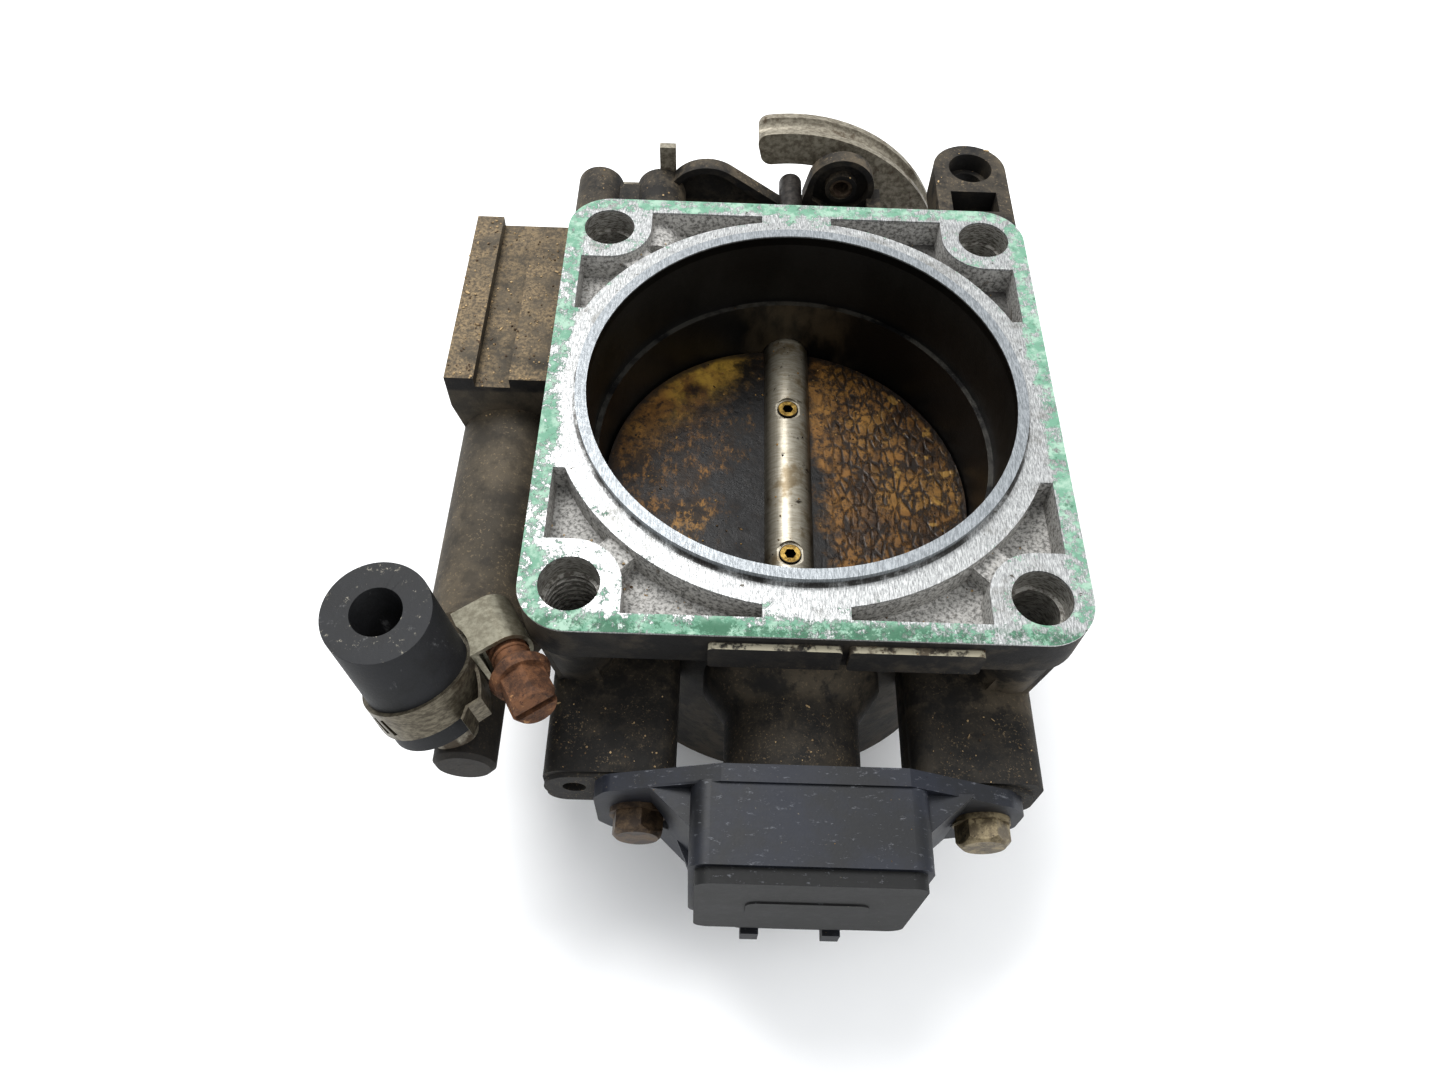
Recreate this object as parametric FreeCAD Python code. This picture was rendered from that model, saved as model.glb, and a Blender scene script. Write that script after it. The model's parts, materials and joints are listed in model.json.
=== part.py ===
import FreeCAD, Part
import math
import os

# Cable-operated throttle body, lying with its engine-side flange upwards.
# Frame: origin on the bore axis at the flange's machined face, +Z out of the flange,
# +Y from the position sensor towards the cable quadrant, +X to the right of that. Millimetres.

os.makedirs("parts", exist_ok=True)

V = FreeCAD.Vector
X_AXIS = V(1, 0, 0)
Y_AXIS = V(0, 1, 0)
Z_AXIS = V(0, 0, 1)

# ---- driving dimensions ----

# flange and bore
FLANGE_X = 92.0
FLANGE_Y = 100.0
FLANGE_CORNER_R = 8.4
FLANGE_THICK = 9.0
POCKET_X = 42.7
POCKET_FRONT_Y = -46.6
POCKET_REAR_Y = 46.2
BOLT_X = 75.5
BOLT_Y = 83.0
BOLT_HOLE_R = 5.0
BOLT_HOLE_DEPTH = 5.0
BOLT_SHANK_R = 4.25
BOLT_BOSS_R = 8.4
MIDDLE_LAND_X = 7.0
SIDE_LAND_Y = 18.8
LIP_R = 40.5
LIP_RISE = 1.8
RECESS_R = 38.5
RECESS_DEPTH = 16.0
RING_R = 44.8
POCKET_DEPTH = 6.0
BORE_R = 37.5
BARREL_R = 44.7
BARREL_BOTTOM = -55.0
SPIGOT_R = 43.2
SPIGOT_BOTTOM = -76.0

# shaft line, parallel to Y
SHAFT_Z = -31.5
SHAFT_R = 5.0
PLATE_R = 37.2
PLATE_THICK = 2.0
PLATE_CLOSED_DEG = 4.0
PLATE_SCREW_Y = 18.0
PLATE_SCREW_HEAD_R = 2.1
PLATE_SCREW_SOCKET = 2.0
PLATE_SCREW_SOCKET_DEPTH = 2.2
SENSOR_FACE_Y = -64.7
REAR_BOSS_Y = 56.0
BUSH_R = 7.0
SEAL_R = 8.0
SEAL_LENGTH = 4.0
RUNNING_GAP = 0.03

# position sensor
SENSOR_X = 3.0
SENSOR_SCREW_PITCH = 58.6
SENSOR_PLATE = 3.0
SENSOR_FRONT_Y = -80.6
SENSOR_TOP = -16.0
SENSOR_BOTTOM = -46.5

# parts on the rear of the shaft
LEVER_Y = 56.5
LEVER_THICK = 2.5
LEVER_REACH = 29.0
LEVER_CLOSED_DEG = 189.0
QUADRANT_Y = 67.0
QUADRANT_WIDTH = 7.0
QUADRANT_R = 36.0
QUADRANT_WEB_R = 28.5
ANCHOR_X = 10.2
ANCHOR_Z = -4.2
STOP_PIN_X = -0.8
STOP_PIN_Z = -3.6
LUG_FRONT_Y = 60.8
LUG_REAR_Y = 64.0
BRACKET_X = (-41.7, -28.5)
BRACKET_Z = -11.5

# coolant gallery on the left
GALLERY_X = -55.5
GALLERY_Z = -25.0
GALLERY_R = 10.4
GALLERY_BORE_R = 4.0
NOSE_R = 5.3
NOSE_FRONT_Y = -63.4
HOSE_R = 8.6
HOSE_BORE_R = 4.1
HOSE_START = V(-58.6, -56.6, -16.9)
HOSE_AXIS = V(-0.336, 0.333, 0.881)
HOSE_LENGTH = 22.3
CUT_NORMAL = V(-0.10, 0.03, 1.0)
NIPPLE_R = 4.0
NIPPLE_LENGTH = 22.4
NIPPLE_BEAD = 2.4
NIPPLE_SIDE_GAP = 0.01
NIPPLE_END_GAP = 0.05
OUTLET_R = 4.5
OUTLET_TOP = -36.0
OUTLET_BOTTOM = -58.0
BAND_START = 3.4
BAND_WIDTH = 5.6
BAND_THICK = 0.7
WORM_AXIS = V(0.45, -0.80, 0.25)
WORM_OFFSET = 14.0


# ---- small helpers ----

def box(x0, y0, z0, x1, y1, z1):
    return Part.makeBox(x1 - x0, y1 - y0, z1 - z0, V(x0, y0, z0))


def rod_y(x, z, r, y0, y1):
    """Cylinder parallel to Y."""
    return Part.makeCylinder(r, y1 - y0, V(x, y0, z), Y_AXIS)


def rod_z(x, y, r, z0, z1):
    """Cylinder parallel to Z."""
    return Part.makeCylinder(r, z1 - z0, V(x, y, z0), Z_AXIS)


def tube_y(x, z, r_out, r_in, y0, y1):
    return rod_y(x, z, r_out, y0, y1).cut(rod_y(x, z, r_in, y0 - 1, y1 + 1))


def prism_y(outline, y0, y1):
    """Straight-sided prism from an (x, z) outline, running along Y."""
    points = [V(x, y0, z) for x, z in outline]
    face = Part.Face(Part.makePolygon(points + points[:1]))
    return face.extrude(V(0, y1 - y0, 0))


def prism_z(outline, z0, z1):
    """Straight-sided prism from an (x, y) outline, running along Z."""
    points = [V(x, y, z0) for x, y in outline]
    face = Part.Face(Part.makePolygon(points + points[:1]))
    return face.extrude(V(0, 0, z1 - z0))


def edges_along(shape, axis, test=None):
    """Straight edges of a shape that run along one axis."""
    found = []
    for edge in shape.Edges:
        if not isinstance(edge.Curve, (Part.Line, Part.LineSegment)):
            continue
        direction = edge.tangentAt(edge.FirstParameter)
        if abs(abs(direction.dot(axis)) - 1) > 1e-6:
            continue
        if test is None or test(edge.CenterOfMass):
            found.append(edge)
    return found


def round_box(x0, y0, z0, x1, y1, z1, r, axis=Z_AXIS):
    """Box whose edges along one axis are rounded."""
    shape = box(x0, y0, z0, x1, y1, z1)
    return shape.makeFillet(r, edges_along(shape, axis))


def lug_y(circle_a, circle_b, y0, y1):
    """Hull of two (x, z, r) circles, running along Y."""
    ax, az, ar = circle_a
    bx, bz, br = circle_b
    span = math.hypot(bx - ax, bz - az)
    heading = math.atan2(bz - az, bx - ax)
    lean = math.acos((ar - br) / span)
    outline = []
    for side in (1, -1):
        angle = heading + side * lean
        pair = [(ax + ar * math.cos(angle), az + ar * math.sin(angle)),
                (bx + br * math.cos(angle), bz + br * math.sin(angle))]
        outline += pair if side == 1 else pair[::-1]
    web = prism_y(outline, y0, y1)
    return web.fuse([rod_y(ax, az, ar, y0, y1), rod_y(bx, bz, br, y0, y1)])


def sector_y(r_in, r_out, deg0, deg1, y0, y1):
    """Ring sector about the shaft axis; angles run from +X towards +Z."""
    shape = Part.makeCylinder(r_out, y1 - y0, V(0, 0, 0), Z_AXIS, deg1 - deg0)
    if r_in > 0:
        shape = shape.cut(Part.makeCylinder(r_in, y1 - y0 + 2, V(0, 0, -1), Z_AXIS))
    shape.rotate(V(0, 0, 0), Z_AXIS, deg0)
    shape.rotate(V(0, 0, 0), X_AXIS, 90)
    shape.translate(V(0, y1, SHAFT_Z))
    return shape


def turn_about_shaft(shape, deg):
    """Turn a shape from +X towards +Z about the shaft axis."""
    turned = shape.copy()
    turned.rotate(V(0, 0, SHAFT_Z), Y_AXIS, -deg)
    return turned


def hexagon_y(x, z, across_flats, y0, y1, deg=0):
    r = across_flats / math.sqrt(3)
    angles = [math.radians(60 * i + deg) for i in range(6)]
    return prism_y([(x + r * math.cos(a), z + r * math.sin(a)) for a in angles], y0, y1)


def along(shape, start, direction):
    """Move a shape built up +Z from the origin so that it starts at a point and points along a direction."""
    placed = shape.copy()
    placed.Placement = FreeCAD.Placement(start, FreeCAD.Rotation(Z_AXIS, direction))
    return placed


def corners():
    for sx in (-1, 1):
        for sy in (-1, 1):
            yield sx, sy


def front_screw_holes():
    for side in (-1, 1):
        yield SENSOR_X + side * SENSOR_SCREW_PITCH / 2


def export(name, solids):
    """Write one node; a list becomes a group of separate solids."""
    shape = solids
    if isinstance(solids, list):
        shape = Part.makeCompound(solids)
    shape.exportStep(os.path.join("parts", name + ".step"))
    print(name, len(shape.Solids), "solid(s)", round(shape.Volume, 1), "mm3", shape.isValid())


# ---- housing ----

def flange():
    plate = round_box(-FLANGE_X / 2, -FLANGE_Y / 2, -FLANGE_THICK,
                      FLANGE_X / 2, FLANGE_Y / 2, 0, FLANGE_CORNER_R)
    low = -POCKET_DEPTH - 1
    side_x = FLANGE_X / 2
    end_y = FLANGE_Y / 2
    pockets = box(-POCKET_X, POCKET_FRONT_Y, -POCKET_DEPTH, POCKET_X, POCKET_REAR_Y, 1)
    keep = [rod_z(0, 0, RING_R, low, 1)]
    keep.append(box(-MIDDLE_LAND_X, -end_y, low, MIDDLE_LAND_X, end_y, 1))
    keep.append(box(-side_x, -SIDE_LAND_Y, low, side_x, SIDE_LAND_Y, 1))
    for sx, sy in corners():
        bx = sx * BOLT_X / 2
        by = sy * BOLT_Y / 2
        inner_x = bx - sx * BOLT_BOSS_R
        inner_y = by - sy * BOLT_BOSS_R
        keep.append(rod_z(bx, by, BOLT_BOSS_R, low, 1))
        # the boss runs straight into both outer walls
        for x, y in ((inner_x, by), (bx, inner_y)):
            keep.append(box(min(x, sx * side_x), min(y, sy * end_y), low,
                            max(x, sx * side_x), max(y, sy * end_y), 1))
        # low web between the bolt boss and the ring round the bore
        web = box(-3, 0, low, 3, 20, -2.2)
        web.rotate(V(0, 0, 0), Z_AXIS, math.degrees(math.atan2(by, bx)) - 90)
        web.translate(V(bx * 0.72, by * 0.72, 0))
        keep.append(web)
    pockets = pockets.cut(keep)
    return plate.cut(pockets)


def barrel():
    body = rod_z(0, 0, BARREL_R, BARREL_BOTTOM, -FLANGE_THICK + 1)
    shoulder = Part.makeCone(SPIGOT_R, BARREL_R, 1.5, V(0, 0, BARREL_BOTTOM - 1.5), Z_AXIS)
    spigot = rod_z(0, 0, SPIGOT_R, SPIGOT_BOTTOM, BARREL_BOTTOM)
    lip = rod_z(0, 0, LIP_R, -1, LIP_RISE)
    return [body, shoulder, spigot, lip]


def corner_bosses():
    shapes = []
    for sx, sy in corners():
        foot_z = -24 if sy < 0 else -18
        height = -FLANGE_THICK + 1 - foot_z
        bx = sx * BOLT_X / 2
        by = sy * BOLT_Y / 2
        shapes.append(Part.makeCone(6.0, BOLT_BOSS_R - 1.0, height, V(bx, by, foot_z), Z_AXIS))
    return shapes


def sensor_blocks():
    """Three bosses that carry the sensor, with their spare-hole lobes."""
    y1 = -22
    left = lug_y((-37.2, -29.5, 5.3), (-27.0, -30.5, 6.7), SENSOR_FACE_Y, y1)
    right = lug_y((35.6, -30.2, 5.5), (26.8, -30.8, 7.2), SENSOR_FACE_Y, y1)
    # broad tops that run back under the flange
    left_top = round_box(-42.5, SENSOR_FACE_Y + 0.8, -38, -20.3, y1, -23.5, 3.5, Y_AXIS)
    right_top = round_box(20.0, SENSOR_FACE_Y + 0.8, -38, 42.2, y1, -23.5, 3.5, Y_AXIS)
    middle = rod_y(0, SHAFT_Z, 12.0, SENSOR_FACE_Y, y1)
    flare = Part.makeCone(12.0, 16.0, 6.0, V(0, -51.0, SHAFT_Z), Y_AXIS)
    root = rod_y(0, SHAFT_Z, 16.0, -45.0, -38.0)
    return [left, right, left_top, right_top, middle, flare, root]


def corner_webs():
    """Sloping walls from the front flange corners down to the sensor blocks."""
    shapes = []
    for side in (-1, 1):
        outline = [(side * 43.5, -FLANGE_THICK + 0.5), (side * 36.0, -FLANGE_THICK + 0.5),
                   (side * 33.0, -27.0), (side * 40.8, -27.0)]
        shapes.append(prism_y(outline, -47.0, -30.0))
    return shapes


def label_pads():
    """Two blank raised pads on the flange's front wall."""
    pads = []
    for x0, x1 in ((-15.4, 5.7), (6.9, 28.2)):
        pads.append(round_box(x0, -FLANGE_Y / 2 - 1.3, -8.4, x1, -FLANGE_Y / 2 + 1, -2.1, 0.8, Y_AXIS))
    return pads


def side_pad():
    """Milled pad with a channel, standing on the coolant gallery."""
    outline = [(-66.5, -6.0), (-66.5, -14.0), (-64.5, -23.0), (-44.0, -23.0), (-44.0, -6.0)]
    body = prism_y(outline, 5.5, 50.4)
    body = body.cut(box(-61.0, 0, -8.3, -54.3, 60, 0))
    body = body.cut(box(-55.0, 36.1, -8.3, -46.2, 60, 0))
    return body


def gallery():
    main = rod_y(GALLERY_X, GALLERY_Z, GALLERY_R, -39, 50)
    neck = Part.makeCone(NOSE_R, GALLERY_R, 6, V(GALLERY_X, -45, GALLERY_Z), Y_AXIS)
    nose = rod_y(GALLERY_X, GALLERY_Z, NOSE_R, NOSE_FRONT_Y + 0.8, -40)
    nose_tip = Part.makeCone(NOSE_R - 0.8, NOSE_R, 0.8, V(GALLERY_X, NOSE_FRONT_Y, GALLERY_Z), Y_AXIS)
    webs = [box(-52, y, -31, -36, y + 14, -19) for y in (-28, 8, 30)]
    return [main, neck, nose, nose_tip] + webs


def rear_lugs():
    """Rear shaft boss, bracket bosses, the two cup-shaped lugs and the ribs that carry them."""
    shapes = [rod_y(0, SHAFT_Z, 12.0, 36, REAR_BOSS_Y)]
    for x, z, r in ((BRACKET_X[0], -8.0, 4.9), (BRACKET_X[1], -8.4, 5.3)):
        shapes.append(rod_y(x, z, r, 40, LUG_REAR_Y))
        shapes.append(rod_y(x, BRACKET_Z, r - 0.6, 40, LUG_REAR_Y))
    shapes.append(box(BRACKET_X[0], 40, -13.5, BRACKET_X[1], 62, -5.8))
    right_cup = lug_y((ANCHOR_X, ANCHOR_Z, 7.1), (3.9, -7.6, 1.7), LUG_FRONT_Y, LUG_REAR_Y)
    right_cup = right_cup.cut(lug_y((ANCHOR_X, ANCHOR_Z, 5.8), (5.0, -7.0, 0.8), 50, LUG_REAR_Y - 1.6))
    hub = rod_y(ANCHOR_X, ANCHOR_Z, 3.4, LUG_FRONT_Y - 0.3, LUG_REAR_Y)
    left_cup = lug_y((-18.5, -9.0, 8.9), (-4.0, -10.5, 2.0), LUG_FRONT_Y, LUG_REAR_Y)
    left_cup = left_cup.cut(lug_y((-18.5, -9.0, 7.4), (-6.2, -10.3, 1.1), 50, LUG_REAR_Y - 1.6))
    bridge = prism_y([(-12.0, -17.0), (10.0, -15.0), (5.0, -8.6), (-6.0, -9.0)], 62.2, LUG_REAR_Y)
    rib = box(4.5, 40, -14.5, 19.0, LUG_FRONT_Y + 0.1, -10.6)
    rib_side = box(16.0, 40, -14.5, 19.0, LUG_REAR_Y, -6.5)
    shapes += [right_cup, hub, left_cup, bridge, rib, rib_side]
    return shapes


def bracket_ear():
    """Ear at the back right corner, level with the flange's right side."""
    ear = rod_z(38.2, 66.8, 7.8, -10.5, -2.5)
    ear = ear.fuse(box(30.4, 44, -10.5, 46.0, 66.8, -2.5))
    ear = ear.cut(box(33.4, 53.1, -8.0, 43.1, 59.2, 0))
    ear = ear.cut(rod_z(38.4, 67.0, 4.65, -6.5, 0))
    return ear.cut(rod_z(38.4, 67.0, 3.4, -12, 0))


def stop_screw_lug():
    return [box(-25.5, 36, -55.0, -14.5, 62.5, -46.0)]


def bolt_holes():
    cuts = []
    for sx, sy in corners():
        bx = sx * BOLT_X / 2
        by = sy * BOLT_Y / 2
        cuts.append(rod_z(bx, by, BOLT_HOLE_R, -BOLT_HOLE_DEPTH, 3))
        cuts.append(rod_z(bx, by, BOLT_SHANK_R, -60, 3))
    # coarse thread in the front left hole
    bx = -BOLT_X / 2
    by = -BOLT_Y / 2
    pitch = 1.5
    for turn in range(8):
        z = -BOLT_HOLE_DEPTH - 0.3 - turn * pitch
        flank = pitch / 2 - 0.1
        cuts.append(Part.makeCone(4.0, 4.9, flank, V(bx, by, z - 2 * flank), Z_AXIS))
        cuts.append(Part.makeCone(4.9, 4.0, flank, V(bx, by, z - flank), Z_AXIS))
    return cuts


def shaft_line_cuts():
    cuts = [rod_y(0, SHAFT_Z, SHAFT_R + 0.3, -80, 80)]
    for y0, y1 in ((SENSOR_FACE_Y, -46.0), (40.0, REAR_BOSS_Y)):
        cuts.append(rod_y(0, SHAFT_Z, BUSH_R, y0, y1))
    cuts.append(rod_y(0, SHAFT_Z, SEAL_R, SENSOR_FACE_Y, SENSOR_FACE_Y + SEAL_LENGTH))
    cuts.append(rod_y(0, SHAFT_Z, SEAL_R, REAR_BOSS_Y - SEAL_LENGTH, REAR_BOSS_Y))
    return cuts


def drilled_holes():
    cuts = []
    for x in front_screw_holes():
        cuts.append(rod_y(x, SHAFT_Z, 2.5, SENSOR_FACE_Y, -50))
    cuts.append(rod_y(-37.3, -29.0, 2.0, SENSOR_FACE_Y - 1, -56))
    cuts.append(rod_y(36.6, -30.0, 2.0, SENSOR_FACE_Y - 1, -56))
    for x in BRACKET_X:
        cuts.append(rod_y(x, BRACKET_Z, 2.0, 52, 65))
    cuts.append(rod_y(ANCHOR_X, ANCHOR_Z, 2.5, 55, 70))
    cuts.append(rod_y(STOP_PIN_X, STOP_PIN_Z, 2.4, 45.5, 70))
    cuts.append(rod_y(GALLERY_X, GALLERY_Z, GALLERY_BORE_R, -57, 60))
    cuts.append(rod_y(GALLERY_X, GALLERY_Z, 6.5, 44, 60))
    cuts.append(along(Part.makeCylinder(NIPPLE_R, 9), inlet_root(), HOSE_AXIS))
    cuts.append(rod_z(GALLERY_X, 28.0, 4.0, -40, GALLERY_Z))
    cuts.append(rod_z(-20.0, LEVER_Y + LEVER_THICK / 2, 2.5, -60, -40))
    return cuts


def housing_casting():
    body = flange()
    added = barrel() + corner_bosses() + sensor_blocks() + corner_webs() + label_pads()
    added += [side_pad(), bracket_ear()] + gallery() + rear_lugs() + stop_screw_lug()
    body = body.fuse(added)
    cuts = [rod_z(0, 0, RECESS_R, -RECESS_DEPTH, 5)]
    cuts.append(rod_z(0, 0, BORE_R, SPIGOT_BOTTOM - 1, 5))
    cuts.append(Part.makeCone(BORE_R + 2.5, BORE_R, 6, V(0, 0, SPIGOT_BOTTOM), Z_AXIS))
    cuts += bolt_holes() + shaft_line_cuts() + drilled_holes()
    return body.cut(cuts)


# ---- shaft, plate and bearings ----

def throttle_shaft():
    shaft = rod_y(0, SHAFT_Z, SHAFT_R, -66.4, REAR_BOSS_Y + 0.3)
    tang = rod_y(0, SHAFT_Z, 4.0, -75.5, -66.4).common(box(-4, -76, SHAFT_Z - 2.5, 4, -66, SHAFT_Z + 2.5))
    drive = rod_y(0, SHAFT_Z, 4.95, REAR_BOSS_Y, QUADRANT_Y + QUADRANT_WIDTH)
    drive = drive.common(box(-3.8, 50, SHAFT_Z - 6, 3.8, 80, SHAFT_Z + 6))
    thread = rod_y(0, SHAFT_Z, 3.75, QUADRANT_Y + QUADRANT_WIDTH, 84.0)
    shaft = shaft.fuse([tang, drive, thread])
    groove = tube_y(0, SHAFT_Z, 6, 4.2, -66.2, -65.3)
    slot = box(-6, -PLATE_R - 0.3, SHAFT_Z - PLATE_THICK / 2, 6, PLATE_R + 0.3, SHAFT_Z + PLATE_THICK / 2)
    slot = turn_about_shaft(slot, -PLATE_CLOSED_DEG)
    cuts = [groove, slot]
    for y in (-PLATE_SCREW_Y, PLATE_SCREW_Y):
        cuts.append(rod_z(0, y, 2.2, SHAFT_Z + 1.2, SHAFT_Z + 8))
        cuts.append(rod_z(0, y, 2.8, SHAFT_Z + 4.3, SHAFT_Z + 8))
        cuts.append(rod_z(0, y, 1.5, SHAFT_Z - 8, SHAFT_Z + 8))
    return shaft.cut(cuts)


def throttle_plate():
    plate = rod_z(0, 0, PLATE_R, SHAFT_Z - PLATE_THICK / 2, SHAFT_Z + PLATE_THICK / 2)
    plate = turn_about_shaft(plate, -PLATE_CLOSED_DEG)
    for y in (-PLATE_SCREW_Y, PLATE_SCREW_Y):
        plate = plate.cut(rod_z(0, y, 1.5, SHAFT_Z - 8, SHAFT_Z + 8))
    return plate


def plate_screws():
    """Socket screws let into the shaft."""
    head_top = SHAFT_Z + SHAFT_R - 0.2
    screws = []
    for y in (-PLATE_SCREW_Y, PLATE_SCREW_Y):
        head = rod_z(0, y, PLATE_SCREW_HEAD_R, SHAFT_Z + 1.2, head_top)
        socket = hexagon_y(0, 0, PLATE_SCREW_SOCKET, -PLATE_SCREW_SOCKET_DEPTH, 1.0)
        socket.rotate(V(0, 0, 0), X_AXIS, 90)
        socket.translate(V(0, y, head_top))
        shank = rod_z(0, y, 1.45, SHAFT_Z - SHAFT_R - 0.6, SHAFT_Z + 1.3)
        screws.append(head.cut(socket).fuse(shank))
    return screws


def shaft_bushes():
    y_in = -46.0
    front = tube_y(0, SHAFT_Z, BUSH_R, SHAFT_R + RUNNING_GAP, SENSOR_FACE_Y + SEAL_LENGTH, y_in)
    rear = tube_y(0, SHAFT_Z, BUSH_R, SHAFT_R + RUNNING_GAP, 40.0, REAR_BOSS_Y - SEAL_LENGTH)
    return front, rear


def shaft_seal(y0, lip_side):
    """Steel-backed lip seal with a spring-side groove."""
    seal = tube_y(0, SHAFT_Z, SEAL_R, SHAFT_R + 0.05, y0 + 0.2, y0 + SEAL_LENGTH - 0.2)
    groove_y = y0 if lip_side < 0 else y0 + SEAL_LENGTH - 1.6
    return seal.cut(tube_y(0, SHAFT_Z, SEAL_R - 0.9, SHAFT_R + 0.7, groove_y, groove_y + 1.6))


def shaft_retaining_ring():
    ring = tube_y(0, SHAFT_Z, 7.0, 4.25, -66.15, -65.35)
    return ring.cut(box(-2.6, -70, SHAFT_Z - 8, 2.6, -60, SHAFT_Z))


# ---- position sensor ----

def sensor_case():
    upper = [(-33.6, -25.5), (-31.5, -22.2), (-12.6, -15.5), (17.5, -15.5), (36.0, -24.3), (38.9, -28.0)]
    outline = upper + [(x, 2 * SHAFT_Z - z) for x, z in upper[::-1]]
    back_y = SENSOR_FACE_Y - SENSOR_PLATE
    plate = prism_y(outline, back_y, SENSOR_FACE_Y)
    plate = plate.makeFillet(2.6, edges_along(plate, Y_AXIS, lambda c: abs(c.x - SENSOR_X) > 30))
    body = round_box(-17.4, SENSOR_FRONT_Y, SENSOR_BOTTOM, 20.8, back_y + 0.5, SENSOR_TOP, 3.2, Y_AXIS)
    # shoulders that slope from the body out to the ears
    shoulders = prism_z([(-24.4, back_y + 0.4), (-17.0, -74.2), (20.4, -74.2), (28.6, back_y + 0.4)],
                        -43.0, -19.5)
    ribs = prism_z([(-21.6, back_y + 0.4), (-17.0, -77.5), (20.4, -77.5), (25.0, back_y + 0.4)], -36.0, -33.8)
    connector = round_box(-10.0, -80.2, -60.0, 12.4, -67.0, SENSOR_BOTTOM + 1, 2.0)
    latches = [box(x0, -82.2, -60.0, x0 + 3.3, -79.8, -55.5) for x0 in (-7.8, 7.2)]
    latch_ramps = [box(x0, -81.2, -55.6, x0 + 3.3, -79.8, -50.0) for x0 in (-7.8, 7.2)]
    case = plate.fuse([body, shoulders, ribs, connector] + latches + latch_ramps)
    cavity = round_box(-13.4, SENSOR_FRONT_Y - 1, -42.4, 17.4, -70.2, -19.6, 2.0, Y_AXIS)
    cuts = [cavity, rod_y(0, SHAFT_Z, 8.0, -72, SENSOR_FACE_Y + 1)]
    cuts.append(round_box(-8.2, -78.6, -62, 10.6, -68.6, -48.0, 1.2))
    cuts.append(tube_y(0, SHAFT_Z, 10.7, 8.7, SENSOR_FACE_Y - 1.5, SENSOR_FACE_Y + 1))
    for x in front_screw_holes():
        cuts.append(rod_y(x, SHAFT_Z, 3.5, back_y - 1, SENSOR_FACE_Y + 1))
        cuts.append(rod_y(x, SHAFT_Z, 5.3, back_y - 20, back_y))
    for x in terminal_places():
        cuts.append(box(x - 1.4, -74.6, -62, x + 1.4, -73.8, -40))
    return case.cut(cuts)


def terminal_places():
    return [1.2 + 5.0 * i for i in (-1, 0, 1)]


def sensor_terminals():
    return [box(x - 1.4, -74.6, -58.0, x + 1.4, -73.8, -41.5) for x in terminal_places()]


def sensor_lid():
    """Flat blank lid that drops into the case's mouth."""
    front = SENSOR_FRONT_Y - 2.6
    lid = round_box(-16.4, front, SENSOR_BOTTOM + 0.8, 19.8, SENSOR_FRONT_Y, SENSOR_TOP - 1.0, 2.6, Y_AXIS)
    panel = round_box(-8.0, front - 0.3, -36.0, 12.0, front, -27.5, 2.0, Y_AXIS)
    lid = lid.fuse(panel)
    return lid.fuse(round_box(-13.2, SENSOR_FRONT_Y, -42.2, 17.2, SENSOR_FRONT_Y + 0.7, -19.8, 2.0, Y_AXIS))


def sensor_track():
    return box(-11.5, -79.6, -41.0, 14.0, -78.8, -21.5).cut(rod_y(0, SHAFT_Z, 2.2, -82, -78))


def sensor_rotor():
    """Driven by the shaft's flats; its rim runs in the case."""
    hub = rod_y(0, SHAFT_Z, 6.4, -76.4, -67.2)
    disc = rod_y(0, SHAFT_Z, 9.0, -76.4, -74.8)
    hub = hub.cut(rod_y(0, SHAFT_Z, 4.02, -75.6, -60).common(
        box(-5, -75.6, SHAFT_Z - 2.52, 5, -60, SHAFT_Z + 2.52)))
    return disc.fuse(hub).cut(rod_y(0, SHAFT_Z, 4.02, -75.6, -60).common(
        box(-5, -75.6, SHAFT_Z - 2.52, 5, -60, SHAFT_Z + 2.52)))


def sensor_wiper():
    plate = tube_y(0, SHAFT_Z, 4.2, 1.4, -76.8, -76.4)
    arms = [box(x - 0.7, -76.8, SHAFT_Z + 2, x + 0.7, -76.4, SHAFT_Z + 8.6) for x in (-2.2, 2.2)]
    tips = [box(x - 0.7, -78.5, SHAFT_Z + 7.8, x + 0.7, -76.8, SHAFT_Z + 8.3) for x in (-2.2, 2.2)]
    return plate.fuse(arms + tips)


def sensor_seal_ring():
    return Part.makeTorus(9.7, 0.72, V(0, SENSOR_FACE_Y - 0.74, SHAFT_Z), Y_AXIS)


def sensor_sleeves():
    return [tube_y(x, SHAFT_Z, 3.5, 2.7, SENSOR_FACE_Y - SENSOR_PLATE, SENSOR_FACE_Y) for x in front_screw_holes()]


def sensor_washers():
    y1 = SENSOR_FACE_Y - SENSOR_PLATE
    return [tube_y(x, SHAFT_Z, 4.9, 2.7, y1 - 0.9, y1) for x in front_screw_holes()]


def sensor_screws():
    """Hexagon screws with chamfered heads."""
    y1 = SENSOR_FACE_Y - SENSOR_PLATE - 0.9
    screws = []
    for x, turn in zip(front_screw_holes(), (20, 12)):
        head = hexagon_y(x, SHAFT_Z, 8.0, y1 - 3.8, y1, turn)
        chamfer = Part.makeCone(3.6, 8.0, 4.4, V(x, y1 - 3.8, SHAFT_Z), Y_AXIS)
        head = head.common(chamfer)
        screws.append(head.fuse(rod_y(x, SHAFT_Z, 2.45, y1, -53.0)))
    return screws


# ---- quadrant, lever and springs ----

def drive_hole(y0, y1):
    hole = rod_y(0, SHAFT_Z, 5.0, y0, y1)
    return hole.common(box(-3.85, y0, SHAFT_Z - 6, 3.85, y1, SHAFT_Z + 6))


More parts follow.
